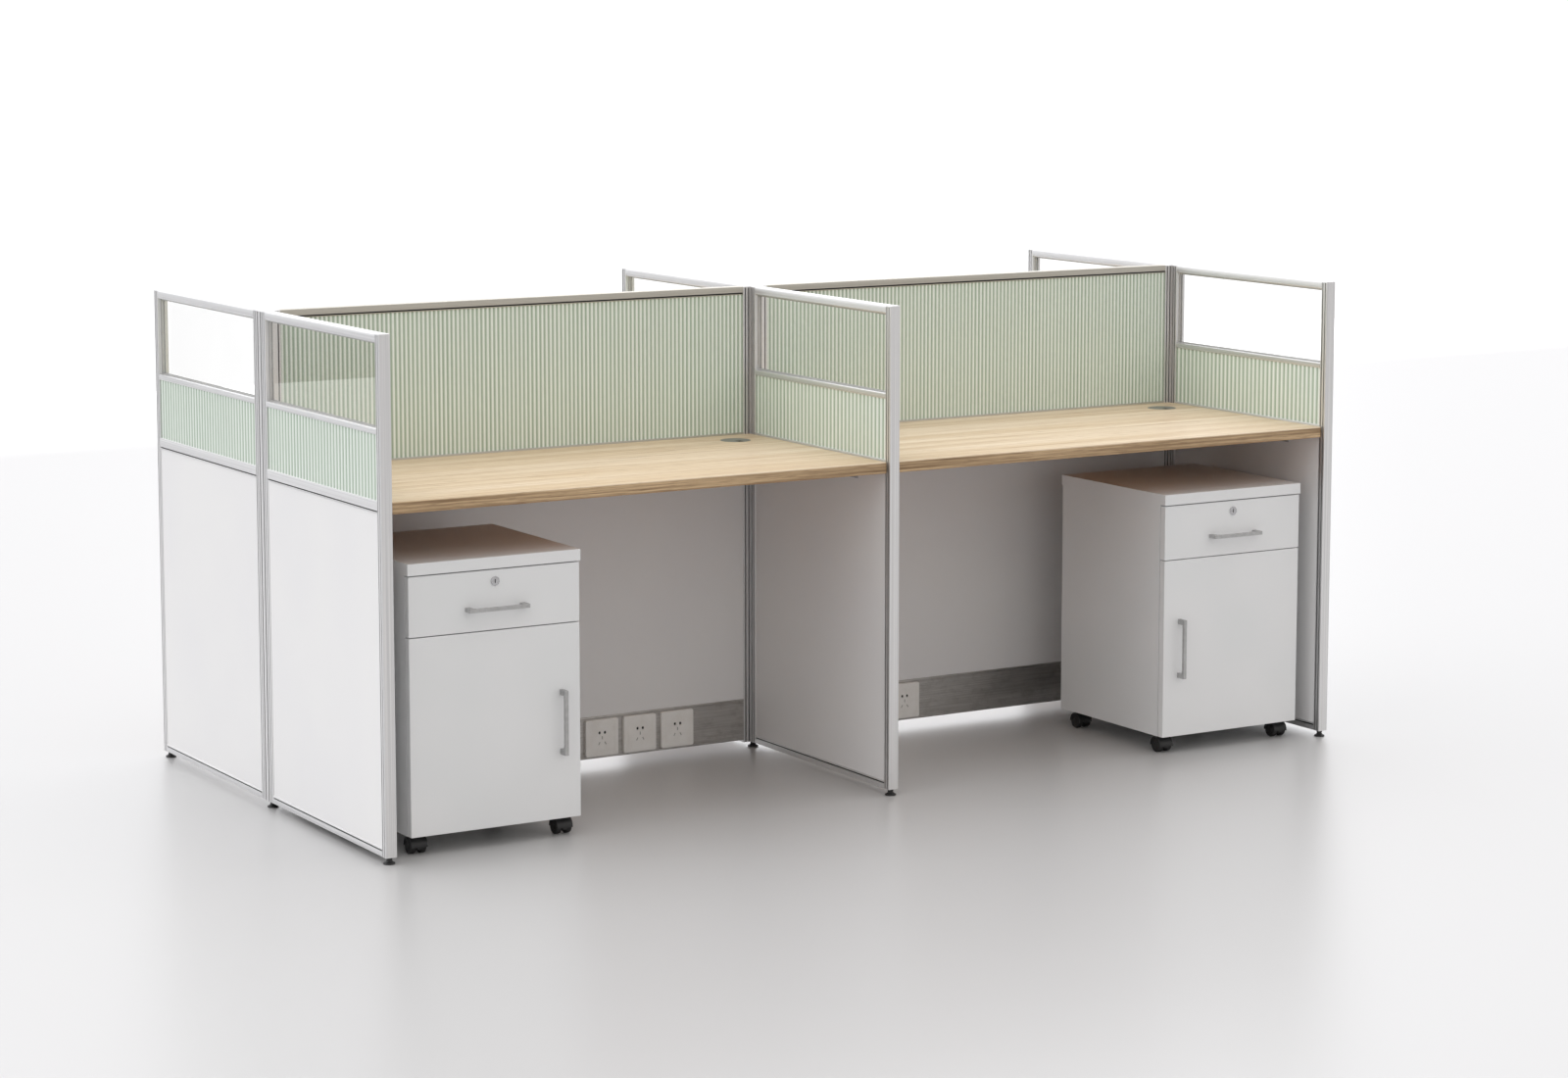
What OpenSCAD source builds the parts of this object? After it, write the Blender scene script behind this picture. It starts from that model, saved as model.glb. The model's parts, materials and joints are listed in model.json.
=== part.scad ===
// Cubicle workstation for four people, with two mobile drawer units. Lengths are in millimetres.
// The origin is on the floor in the middle. X runs along the spine partition, Y points to the
// rear seats and Z is up.

/* [Partitions] */
// Height of the partitions above the floor
panel_h = 1100; // [1000:10:1400]
// Thickness of every post, stile and rail
panel_t = 25; // [23:1:40]
// Width of a stile, seen from the side
stile_w = 20; // [16:1:40]
// How far a wing partition reaches past the desk's front edge
wing_reach = 10; // [6:1:60]
// Height of the top rail of a wing
wing_top_rail_h = 19; // [14:1:30]
// Height of the thin rail under the clear pane
glass_rail_h = 12; // [10:1:24]
// Height of the ribbed pane in a wing
ribbed_pane_h = 136; // [60:1:180]
// Height of the wide rail at the desk
desk_rail_h = 27; // [20:1:40]
// How far the wide rail stands above the desk
desk_rail_rise = 4; // [1:1:20]
// Height of the bottom rail
bottom_rail_h = 18; // [12:1:40]
// Height of the top rail of the spine
spine_top_rail_h = 13; // [10:1:30]

/* [Panes and boards] */
// Thickness of a clear pane
glass_t = 5; // [4:1:8]
// Overall thickness of a ribbed panel
ribbed_t = 21; // [12:1:23]
// Depth of the ribs on each face
rib_depth = 2; // [1:0.5:4]
// Width of one rib in a wing pane
wing_rib_w = 15.7; // [10:0.1:30]
// Width of one rib in a spine panel
spine_rib_w = 10.6; // [8:0.1:20]
// Thickness of a white board
board_t = 22; // [12:1:23]

/* [Desks] */
// Width of one desk top
desk_w = 1200; // [1000:10:1600]
// Depth of one desk top
desk_d = 595; // [560:5:800]
// Height of the desk's upper face above the floor
desk_h = 753; // [700:1:780]
// Thickness of a desk top
desk_t = 25; // [18:1:30]
// Gap between a desk's end and the wing beside it
desk_end_gap = 2.5; // [0:0.5:6]
// Diameter of a cable grommet's flange
grommet_d = 70; // [60:1:90]
// From the wing on the seat's right to the grommet's centre
grommet_from_wing = 93; // [60:1:200]
// From the spine to the grommet's centre
grommet_from_spine = 88; // [60:1:200]

/* [Trunking and sockets] */
// Height of the trunking's lower edge above the floor
trunking_z = 21; // [16:1:60]
// Height of the trunking
trunking_h = 99; // [94:1:140]
// Side of a square socket plate
socket_w = 86; // [80:1:86]
// How far a socket plate stands proud of the trunking
socket_proud = 8; // [4:1:12]
// Distance between the centres of neighbouring sockets
socket_pitch = 100; // [94:1:140]
// From the middle of the workstation to the nearest socket's centre
socket_start = 217; // [120:1:400]

/* [Drawer unit] */
// Width of the unit's top
unit_w = 402; // [340:1:480]
// Depth of the unit's top
unit_d = 415; // [380:1:520]
// Height of the unit above the floor
unit_h = 618.5; // [560:0.5:660]
// Thickness of the unit's top
unit_top_t = 25; // [16:1:30]
// From the wing's face to the unit's side
unit_from_wing = 45.5; // [25:0.5:300]
// From the desk's front edge back to the unit's front edge
unit_setback = 19.5; // [18:0.5:60]
// Least room between the unit's top and the desk over it
unit_headroom = 20; // [5:1:40]
// How far the top reaches past the case on each side
unit_top_reach = 2; // [0:0.5:10]
// Thickness of the case boards
case_t = 16; // [15:1:20]
// Thickness of the case's back board
back_t = 8; // [4:1:12]
// Thickness of the drawer front and the door
front_t = 18; // [15:1:22]
// Height of the drawer front
drawer_front_h = 127; // [110:1:180]
// Depth of the drawer box
drawer_d = 350; // [250:10:350]
// Height of the drawer box
drawer_box_h = 80; // [50:1:90]
// Thickness of the drawer box's walls
drawer_wall_t = 12; // [9:1:16]
// Length of a bow handle
handle_l = 140; // [110:1:160]
// How far a bow handle stands out from its front
handle_out = 25; // [18:1:26]
// From the door's free edge to the middle of its handle
door_handle_inset = 45; // [25:1:80]
// Diameter of the lock's face
lock_d = 20; // [18:1:24]

/* [Castors] */
// Height of the case above the floor
castor_h = 42; // [40:1:60]
// Diameter of a castor wheel
wheel_d = 34; // [28:1:34]
// Width of one of the two wheels
wheel_w = 13; // [8:1:16]
// Gap between the two wheels
wheel_gap = 11; // [10:1:16]
// How far the wheels trail behind the swivel axis
castor_trail = 8; // [4:1:10]

/* [Levelling feet] */
// Height of a foot's cone
foot_h = 15; // [12:1:20]
// Diameter of a foot's base
foot_d = 25; // [20:1:25]

/* [Hidden] */
SIDES = ["left", "right"];
CORNERS = ["front_outer", "front_inner", "rear_outer", "rear_inner"];
FRAME_NODES = [
    "connector_posts", "wing_stiles", "wing_top_rails", "wing_mid_rails", "wing_bottom_rails",
    "clear_panes", "pane_gaskets", "ribbed_wing_panes", "wing_boards",
    "spine_stiles", "spine_rails", "spine_ribbed_panels", "spine_boards",
    "trunking", "socket_outlets", "levelling_feet", "desk_grommets", "desk_brackets"
];
DESK_NODES = [for (row = ["front", "rear"], side = SIDES) str("desk_", row, "_", side)];
UNIT_PARTS = [
    "case", "top", "drawer_box", "drawer_front", "drawer_handle", "drawer_runners",
    "door", "door_handle", "hinge_arms", "hinge_cups", "lock"
];
UNIT_NODES = [for (side = SIDES, part = UNIT_PARTS) str(side, "_", part)];
CASTOR_NODES = [
    for (side = SIDES, kind = ["castor", "wheels"], corner = CORNERS) str(side, "_", kind, "_", corner)
];

// Curves, cuts and clearances
$fn = 48;
overrun = 1;
running_gap = 0.05;
small_edge = 1.5;

// Frame layout
bay_w = desk_w + 2 * desk_end_gap;
post_x = bay_w + panel_t;
wing_l = desk_d + wing_reach;
pane_l = wing_l - 2 * stile_w;
spine_pane_l = bay_w - 2 * stile_w;
frame_z = foot_h;
board_z = frame_z + bottom_rail_h;
desk_top_z = max(desk_h, unit_h + unit_headroom + desk_t);
desk_rail_top = desk_top_z + desk_rail_rise;
desk_rail_z = desk_rail_top - desk_rail_h;
glass_rail_z = desk_rail_top + ribbed_pane_h;
clear_z = glass_rail_z + glass_rail_h;
clear_top = panel_h - wing_top_rail_h;
spine_rib_top = panel_h - spine_top_rail_h;

// Details of the frames
rib_steps = 4;
rib_start_angle = 45;
groove_h = 1.5;
groove_depth = 1;
groove_from_edge = 5;
pane_slack = 1;
pane_slot_w = glass_t + pane_slack;
pane_slot_depth = 6;
pane_bite = 5;
gasket_w = 3;
gasket_t = 2;

// Feet
foot_top_d = 10;
foot_pad_h = 3;
foot_stem_d = 8;
foot_stem_l = 25;
foot_bore_l = 30;
foot_inset = panel_t / 2;

// Trunking and sockets
trunking_lip_h = 5;
trunking_top_h = 6;
trunking_cover_t = 2;
socket_corner = 4;
socket_box_w = 60;
socket_box_d = 8;
socket_slot_depth = 3;
socket_slot_w = 2;
socket_slot_l = 6;
socket_flat_pin_x = 7;
socket_flat_pin_z = 12;
socket_pin_x = 7;
socket_pin_z = -11;
socket_earth_z = 2;
socket_pin_slant = 30;
cover_z = trunking_z + trunking_lip_h;
cover_h = trunking_h - trunking_lip_h - trunking_top_h;
socket_z = cover_z + cover_h / 2;

// Desk fittings
grommet_flange_t = 2;
grommet_rim_w = 5;
grommet_wall_t = 5;
grommet_tube_d = grommet_d - 2 * grommet_rim_w;
grommet_bore_d = grommet_tube_d - 2 * grommet_wall_t;
grommet_tube_drop = 3;
grommet_gap = 0.3;
grommet_slot_w = 16;
bracket_leg = 25;
bracket_t = 2;
bracket_l = 350;
spine_bracket_l = 300;

// Drawer unit layout. Its own frame has X from the hinged side, Y from the front edge back.
unit_x = -bay_w - panel_t / 2 + unit_from_wing;
unit_y = -panel_t / 2 - desk_d + unit_setback;
front_gap = 2;
top_gap = 2.5;
front_y = unit_top_reach;
case_y = front_y + front_t + front_gap;
case_end_y = unit_d - unit_top_reach;
case_x = unit_top_reach;
case_w = unit_w - 2 * unit_top_reach;
case_top = unit_h - unit_top_t;
drawer_front_z = case_top - top_gap - drawer_front_h;
door_h = drawer_front_z - front_gap - castor_h;
inner_x = case_x + case_t;
inner_w = case_w - 2 * case_t;
divider_z = drawer_front_z - front_gap / 2 - case_t / 2;

// Drawer
runner_t = 12.7;
runner_h = 35;
runner_gap = 0.3;
runner_groove_h = 12;
runner_groove_depth = 4;
drawer_floor_t = 6;
drawer_box_z = drawer_front_z + case_t;
drawer_box_x = inner_x + runner_t + runner_gap;
drawer_box_w = inner_w - 2 * (runner_t + runner_gap);
runner_z = drawer_box_z + (drawer_box_h - runner_h) / 2;
handle_bar_t = 8;
handle_bar_h = 8.5;
handle_end_w = 12;
handle_edge = 1.2;
drawer_handle_rise = 48;
drawer_handle_z = drawer_front_z + drawer_handle_rise;
door_handle_z = castor_h + door_h / 2;

// Lock
lock_drop = 26.5;
lock_z = case_top - lock_drop;
lock_x = unit_w / 2;
lock_face_t = 2;
lock_barrel_d = 16;
lock_key_w = 2;
lock_key_l = 8;
lock_cam_l = 18;
lock_cam_w = 10;
lock_cam_t = 2;

// Hinges
hinge_share = 0.18;
hinge_cup_d = 35;
hinge_cup_depth = 11;
hinge_cup_flange_t = 1;
hinge_cup_flange_h = 50;
hinge_cup_from_edge = 24;
hinge_arm_l = 60;
hinge_arm_h = 14;
hinge_arm_t = 6;
hinge_gap = 0.3;
hinge_reach = front_gap - hinge_cup_flange_t - hinge_gap;
hinge_zs = [castor_h + hinge_share * door_h, castor_h + (1 - hinge_share) * door_h];

// Castors
castor_side_inset = 30;
castor_front_inset = 50;
castor_rear_inset = 40;
stem_d = 10;
stem_l = 14;
collar_d = 22;
collar_h = 1;
axle_d = 6;
hood_t = 2;
hood_gap = 1;
hood_r = wheel_d / 2 + hood_gap + hood_t;
hood_w = 2 * wheel_w + wheel_gap;
web_clearance = 0.5;
web_w = wheel_gap - 2 * web_clearance;
hood_skirt_drop = 2;
web_drop = 6;

// Outline helpers

// A rectangle from the origin with its four corners cut at 45 degrees
function cut_corners(w, h, c) = [
    [c, 0], [w - c, 0], [w, c], [w, h - c], [w - c, h], [c, h], [0, h - c], [0, c]
];

// One face of a ribbed panel, from x = 0 to x = w: a wave with a few points to each rib
function rib_wave(w, rib_w, outer, depth) =
    let (steps = round(w / rib_w) * rib_steps)
    [for (i = [0 : steps])
        [w * i / steps, outer - depth * (1 + cos(rib_start_angle + 360 * i / rib_steps)) / 2]];

// Both faces of a ribbed panel, as one closed outline centred on y = 0
function ribbed_outline(w, rib_w) =
    let (
        near = rib_wave(w, rib_w, ribbed_t / 2, rib_depth),
        last = len(near) - 1
    )
    concat([for (p = near) [p[0], -p[1]]], [for (i = [0 : last]) near[last - i]]);

// A bar from x = 0, centred on y = 0, with a thin shadow groove on both faces
module grooved_bar(length, height, groove_z) {
    difference() {
        translate([0, -panel_t / 2, 0]) cube([length, panel_t, height]);
        for (side = [-1, 1])
            translate([-overrun, side * (panel_t / 2) - groove_depth, groove_z])
                cube([length + 2 * overrun, 2 * groove_depth, groove_h]);
    }
}

// A slot for the clear pane, cut along x and open at z = 0, running up to its depth
module pane_slot(length) {
    translate([-overrun, -pane_slot_w / 2, -overrun])
        cube([length + 2 * overrun, pane_slot_w, pane_slot_depth + overrun]);
}

module box_ring(length, height, wall, thickness) {
    difference() {
        cube([length, thickness, height]);
        translate([wall, -overrun, wall])
            cube([length - 2 * wall, thickness + 2 * overrun, height - 2 * wall]);
    }
}

// Placement helpers

// Puts a wing that is drawn along +X from the spine face into all six places
module each_wing() {
    for (i = [-1 : 1], turn = [-90, 90])
        translate([i * post_x, 0, 0]) rotate(turn) translate([panel_t / 2, 0, 0]) children();
}

// Puts a spine piece that is drawn along +X from a post's face into both bays
module each_bay() {
    for (i = [-1, 0])
        translate([i * post_x + panel_t / 2, 0, 0]) children();
}

// A seat's own frame has its origin where the spine meets the wing on the seat's right,
// X towards the left of the seat and Y away from the spine
module at_seat(row, side) {
    front = row == "front";
    turn = front ? 180 : 0;
    x = side == "left" ? (front ? 0 : -post_x) : (front ? post_x : 0);
    translate([x, 0, 0]) rotate(turn) translate([panel_t / 2, panel_t / 2, 0]) children();
}

module each_seat() {
    for (row = ["front", "rear"], side = SIDES) at_seat(row, side) children();
}

module at_unit(side) {
    mirror([side == "right" ? 1 : 0, 0, 0]) translate([unit_x, unit_y, 0]) children();
}

module at_castor(side, corner) {
    x = corner == "front_outer" || corner == "rear_outer" ? castor_side_inset : unit_w - castor_side_inset;
    y = corner == "front_outer" || corner == "front_inner" ? castor_front_inset : unit_d - castor_rear_inset;
    at_unit(side) translate([x, y, 0]) children();
}

// Partitions

module foot_bore() {
    translate([0, 0, frame_z - overrun])
        cylinder(d = foot_stem_d + 2 * running_gap, h = foot_bore_l + overrun);
}

module connector_posts() {
    color("gainsboro")
        for (i = [-1 : 1])
            translate([i * post_x, 0, 0])
                difference() {
                    translate([-panel_t / 2, -panel_t / 2, frame_z])
                        linear_extrude(panel_h - frame_z)
                            polygon(cut_corners(panel_t, panel_t, small_edge));
                    foot_bore();
                }
}

module stile() {
    translate([0, -panel_t / 2, frame_z])
        linear_extrude(panel_h - frame_z) polygon(cut_corners(stile_w, panel_t, small_edge));
}

module wing_stiles() {
    slot_h = clear_top + pane_slot_depth - glass_rail_z;
    color("gainsboro") {
        each_wing()
            difference() {
                stile();
                translate([stile_w - pane_slot_depth, -pane_slot_w / 2, glass_rail_z])
                    cube([pane_slot_depth + overrun, pane_slot_w, slot_h]);
            }
        each_wing()
            difference() {
                translate([wing_l - stile_w, 0, 0]) stile();
                translate([wing_l - stile_w - overrun, -pane_slot_w / 2, glass_rail_z])
                    cube([pane_slot_depth + overrun, pane_slot_w, slot_h]);
                translate([wing_l - foot_inset, 0, 0]) foot_bore();
            }
    }
}

module wing_top_rails() {
    color("gainsboro")
        each_wing()
            translate([stile_w, 0, clear_top])
                difference() {
                    grooved_bar(pane_l, wing_top_rail_h, wing_top_rail_h - groove_from_edge);
                    pane_slot(pane_l);
                }
}

module wing_mid_rails() {
    color("gainsboro")
        each_wing() {
            translate([stile_w, 0, glass_rail_z])
                difference() {
                    translate([0, -panel_t / 2, 0]) cube([pane_l, panel_t, glass_rail_h]);
                    translate([0, 0, glass_rail_h]) mirror([0, 0, 1]) pane_slot(pane_l);
                }
            translate([stile_w, 0, desk_rail_z])
                grooved_bar(pane_l, desk_rail_h, groove_from_edge);
        }
}

module wing_bottom_rails() {
    color("gainsboro")
        each_wing()
            translate([stile_w, 0, frame_z])
                grooved_bar(pane_l, bottom_rail_h, bottom_rail_h - groove_from_edge);
}

module clear_panes() {
    color("lightcyan", 0.35)
        each_wing()
            translate([stile_w - pane_bite, -glass_t / 2, clear_z - pane_slot_depth])
                cube([pane_l + 2 * pane_bite, glass_t, clear_top - clear_z + pane_slot_depth + pane_bite]);
}

module pane_gaskets() {
    color("dimgray")
        each_wing()
            for (y = [glass_t / 2, -glass_t / 2 - gasket_t])
                translate([stile_w, y, clear_z])
                    box_ring(pane_l, clear_top - clear_z, gasket_w, gasket_t);
}

module ribbed_wing_panes() {
    color("#c3d2c3")
        each_wing()
            translate([stile_w, 0, desk_rail_top])
                linear_extrude(ribbed_pane_h) polygon(ribbed_outline(pane_l, wing_rib_w));
}

module wing_boards() {
    color("whitesmoke")
        each_wing()
            translate([stile_w, -board_t / 2, board_z])
                cube([pane_l, board_t, desk_rail_z - board_z]);
}

module spine_stiles() {
    color("gainsboro")
        each_bay()
            for (x = [0, bay_w - stile_w])
                translate([x, 0, 0]) stile();
}

module spine_rails() {
    color("gainsboro")
        each_bay() {
            translate([stile_w, 0, spine_rib_top])
                grooved_bar(spine_pane_l, spine_top_rail_h, spine_top_rail_h - groove_from_edge);
            translate([stile_w, -panel_t / 2, desk_rail_z])
                cube([spine_pane_l, panel_t, desk_rail_h]);
        }
}

module spine_ribbed_panels() {
    color("#c3d2c3")
        each_bay()
            translate([stile_w, 0, desk_rail_top])
                linear_extrude(spine_rib_top - desk_rail_top)
                    polygon(ribbed_outline(spine_pane_l, spine_rib_w));
}

module spine_boards() {
    board_bottom = trunking_z + trunking_h;
    color("gainsboro")
        each_bay()
            translate([stile_w, -board_t / 2, board_bottom])
                cube([spine_pane_l, board_t, desk_rail_z - board_bottom]);
}

// Trunking and sockets

// Puts a socket that is drawn facing -Y, centred on x = 0 and z = 0, into every place
module each_socket() {
    for (side = [-1, 1], i = [0 : 2], turn = [0, 180])
        translate([side * (socket_start + i * socket_pitch), 0, 0]) rotate(turn)
            translate([0, -panel_t / 2, socket_z]) children();
}

module trunking() {
    color("silver") {
        each_bay() {
            translate([stile_w, -panel_t / 2, trunking_z])
                cube([spine_pane_l, panel_t, trunking_lip_h]);
            translate([stile_w, -panel_t / 2, cover_z + cover_h])
                cube([spine_pane_l, panel_t, trunking_top_h]);
        }
        difference() {
            each_bay()
                for (y = [-panel_t / 2, panel_t / 2 - trunking_cover_t])
                    translate([stile_w, y, cover_z]) cube([spine_pane_l, trunking_cover_t, cover_h]);
            each_socket()
                translate([-socket_box_w / 2, -overrun, -socket_box_w / 2])
                    cube([socket_box_w, trunking_cover_t + 2 * overrun, socket_box_w]);
        }
    }
}

module socket_slot(x, z, turn) {
    translate([x, -socket_proud - overrun, z]) rotate([0, turn, 0])
        translate([-socket_slot_w / 2, 0, -socket_slot_l / 2])
            cube([socket_slot_w, socket_slot_depth + overrun, socket_slot_l]);
}

module socket_outlets() {
    color("linen")
        each_socket()
            difference() {
                union() {
                    translate([-socket_w / 2, 0, -socket_w / 2]) rotate([90, 0, 0])
                        linear_extrude(socket_proud)
                            polygon(cut_corners(socket_w, socket_w, socket_corner));
                    translate([-socket_box_w / 2, 0, -socket_box_w / 2])
                        cube([socket_box_w, socket_box_d, socket_box_w]);
                }
                for (side = [-1, 1]) {
                    socket_slot(side * socket_flat_pin_x, socket_flat_pin_z, 0);
                    socket_slot(side * socket_pin_x, socket_pin_z, side * socket_pin_slant);
                }
                socket_slot(0, socket_earth_z, 0);
            }
}

module levelling_feet() {
    places = concat(
        [for (i = [-1 : 1]) [i * post_x, 0]],
        [for (i = [-1 : 1], side = [-1, 1]) [i * post_x, side * (panel_t / 2 + wing_l - foot_inset)]]
    );
    color("black")
        for (p = places)
            translate([p[0], p[1], 0]) {
                cylinder(d = foot_d, h = foot_pad_h);
                translate([0, 0, foot_pad_h])
                    cylinder(d1 = foot_d, d2 = foot_top_d, h = foot_h - foot_pad_h);
                cylinder(d = foot_stem_d, h = foot_h + foot_stem_l);
            }
}

// Desks

module desk_top(row, side) {
    color("burlywood")
        at_seat(row, side)
            translate([0, 0, desk_top_z - desk_t])
                difference() {
                    translate([desk_end_gap, 0, 0]) cube([desk_w, desk_d, desk_t]);
                    translate([grommet_from_wing, grommet_from_spine, 0]) {
                        translate([0, 0, -overrun])
                            cylinder(d = grommet_tube_d + 2 * grommet_gap, h = desk_t + 2 * overrun);
                        translate([0, 0, desk_t - grommet_flange_t])
                            cylinder(d = grommet_d + 2 * grommet_gap, h = grommet_flange_t + overrun);
                    }
                }
}

// A ring let in flush with the desk, and the cap with a cable slot that lies in it
module desk_grommets() {
    tube_l = desk_t - grommet_flange_t + grommet_tube_drop;
    color("darkgray")
        each_seat()
            translate([grommet_from_wing, grommet_from_spine, desk_top_z - grommet_flange_t]) {
                difference() {
                    union() {
                        cylinder(d = grommet_d, h = grommet_flange_t);
                        translate([0, 0, -tube_l]) cylinder(d = grommet_tube_d, h = tube_l);
                    }
                    translate([0, 0, -tube_l - overrun])
                        cylinder(d = grommet_bore_d, h = tube_l + grommet_flange_t + 2 * overrun);
                    cylinder(d = grommet_tube_d, h = grommet_flange_t + overrun);
                }
                difference() {
                    cylinder(d = grommet_tube_d - 2 * grommet_gap, h = grommet_flange_t);
                    translate([-grommet_slot_w / 2, grommet_bore_d / 2 - grommet_slot_w, -overrun])
                        cube([grommet_slot_w, grommet_d, grommet_flange_t + 2 * overrun]);
                }
            }
}

// A steel angle along x, with one leg up against y = 0 and the other flat under z = 0
module angle(length) {
    translate([0, 0, -bracket_t]) cube([length, bracket_leg, bracket_t]);
    translate([0, 0, -bracket_leg]) cube([length, bracket_t, bracket_leg]);
}

module desk_brackets() {
    bracket_y = (desk_d - bracket_l) / 2;
    color("silver")
        each_seat()
            translate([0, 0, desk_top_z - desk_t]) {
                translate([0, bracket_y + bracket_l, 0]) rotate(-90) angle(bracket_l);
                translate([bay_w, bracket_y, 0]) rotate(90) angle(bracket_l);
                translate([(bay_w - spine_bracket_l) / 2, 0, 0]) angle(spine_bracket_l);
            }
}

// Drawer units

// The glued case: two sides, a bottom, a divider and a back, round a cupboard and a drawer space
module unit_case(side) {
    space_y = case_y - overrun;
    space_d = case_end_y - back_t - space_y;
    cupboard_z = castor_h + case_t;
    drawer_space_z = divider_z + case_t;
    color("white")
        at_unit(side)
            difference() {
                translate([case_x, case_y, castor_h])
                    cube([case_w, case_end_y - case_y, case_top - castor_h]);
                translate([inner_x, space_y, cupboard_z])
                    cube([inner_w, space_d, divider_z - cupboard_z]);
                translate([inner_x, space_y, drawer_space_z])
                    cube([inner_w, space_d, case_top - drawer_space_z + overrun]);
                for (corner = CORNERS) castor_hole(corner);
            }
}

module castor_hole(corner) {
    x = corner == "front_outer" || corner == "rear_outer" ? castor_side_inset : unit_w - castor_side_inset;
    y = corner == "front_outer" || corner == "front_inner" ? castor_front_inset : unit_d - castor_rear_inset;
    translate([x, y, castor_h - overrun])
        cylinder(d = stem_d + 2 * running_gap, h = case_t + 2 * overrun);
}

module unit_top(side) {
    color("white")
        at_unit(side) translate([0, 0, case_top]) cube([unit_w, unit_d, unit_top_t]);
}

module drawer_front(side) {
    color("white")
        at_unit(side)
            difference() {
                translate([case_x, front_y, drawer_front_z]) cube([case_w, front_t, drawer_front_h]);
                translate([lock_x, front_y - overrun, lock_z]) rotate([-90, 0, 0])
                    cylinder(d = lock_barrel_d + 2 * running_gap, h = front_t + 2 * overrun);
            }
}

module drawer_box(side) {
    y = front_y + front_t;
    inner_d = drawer_d - 2 * drawer_wall_t;
    wall_x = drawer_box_x + drawer_wall_t;
    wall_w = drawer_box_w - 2 * drawer_wall_t;
    color("gainsboro")
        at_unit(side) translate([0, 0, drawer_box_z]) {
            for (x = [drawer_box_x, drawer_box_x + drawer_box_w - drawer_wall_t])
                translate([x, y, 0]) cube([drawer_wall_t, drawer_d, drawer_box_h]);
            for (wall_y = [y, y + drawer_d - drawer_wall_t])
                translate([wall_x, wall_y, 0]) cube([wall_w, drawer_wall_t, drawer_box_h]);
            translate([wall_x, y + drawer_wall_t, 0]) cube([wall_w, inner_d, drawer_floor_t]);
        }
}

module drawer_runners(side) {
    color("silver")
        at_unit(side)
            for (i = [0, 1])
                translate([i * unit_w, 0, 0]) mirror([i, 0, 0])
                    difference() {
                        translate([inner_x, case_y, runner_z])
                            cube([runner_t, drawer_d - front_gap, runner_h]);
                        translate([inner_x + runner_t - runner_groove_depth, case_y - overrun,
                                   runner_z + (runner_h - runner_groove_h) / 2])
                            cube([runner_groove_depth + overrun, drawer_d + 2 * overrun, runner_groove_h]);
                    }
}

// A bow handle along x, centred on x = 0 and z = 0, standing out of y = 0 towards -Y
module bow_handle() {
    bar_y = -handle_out;
    translate([-handle_l / 2, bar_y, -handle_bar_h / 2]) rotate([90, 0, 90])
        linear_extrude(handle_l) polygon(cut_corners(handle_bar_t, handle_bar_h, handle_edge));
    for (x = [-handle_l / 2, handle_l / 2 - handle_end_w])
        translate([x, bar_y + handle_bar_t, -handle_bar_h / 2])
            cube([handle_end_w, handle_out - handle_bar_t, handle_bar_h]);
}

module drawer_handle(side) {
    color("silver")
        at_unit(side) translate([unit_w / 2, front_y, drawer_handle_z]) bow_handle();
}

module unit_door(side) {
    color("white")
        at_unit(side)
            difference() {
                translate([case_x, front_y, castor_h]) cube([case_w, front_t, door_h]);
                for (z = hinge_zs)
                    translate([case_x + hinge_cup_from_edge, front_y + front_t - hinge_cup_depth, z])
                        rotate([-90, 0, 0]) cylinder(d = hinge_cup_d, h = hinge_cup_depth + overrun);
            }
}

module door_handle(side) {
    color("silver")
        at_unit(side)
            translate([case_x + case_w - door_handle_inset, front_y, door_handle_z])
                rotate([0, 90, 0]) bow_handle();
}

module hinge_arms(side) {
    color("silver")
        at_unit(side)
            for (z = hinge_zs)
                translate([inner_x, case_y - hinge_reach, z - hinge_arm_h / 2])
                    cube([hinge_arm_t, hinge_arm_l, hinge_arm_h]);
}

module hinge_cups(side) {
    cup_y = front_y + front_t - hinge_cup_depth;
    color("silver")
        at_unit(side)
            for (z = hinge_zs)
                translate([case_x + hinge_cup_from_edge, 0, z]) {
                    translate([0, cup_y, 0]) rotate([-90, 0, 0])
                        cylinder(d = hinge_cup_d, h = hinge_cup_depth);
                    translate([-hinge_cup_d / 2, front_y + front_t, -hinge_cup_flange_h / 2])
                        cube([hinge_cup_d, hinge_cup_flange_t, hinge_cup_flange_h]);
                }
}

module unit_lock(side) {
    color("silver")
        at_unit(side)
            translate([lock_x, front_y, lock_z]) rotate([-90, 0, 0])
                difference() {
                    union() {
                        translate([0, 0, -lock_face_t]) cylinder(d = lock_d, h = lock_face_t);
                        cylinder(d = lock_barrel_d, h = front_t);
                        translate([0, 0, front_t]) cylinder(d = lock_cam_w, h = lock_cam_t);
                        translate([0, -lock_cam_w / 2, front_t]) cube([lock_cam_l, lock_cam_w, lock_cam_t]);
                    }
                    translate([-lock_key_w / 2, -lock_key_l / 2, -lock_face_t - overrun])
                        cube([lock_key_w, lock_key_l, front_t / 2 + overrun]);
                }
}

// Castors

// Everything of a castor's side below a height, beside its middle web or right across
module below(x, w, top) {
    translate([x, -castor_trail - 2 * hood_r, top - 2 * hood_r]) cube([w, 4 * hood_r, 2 * hood_r]);
}

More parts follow.
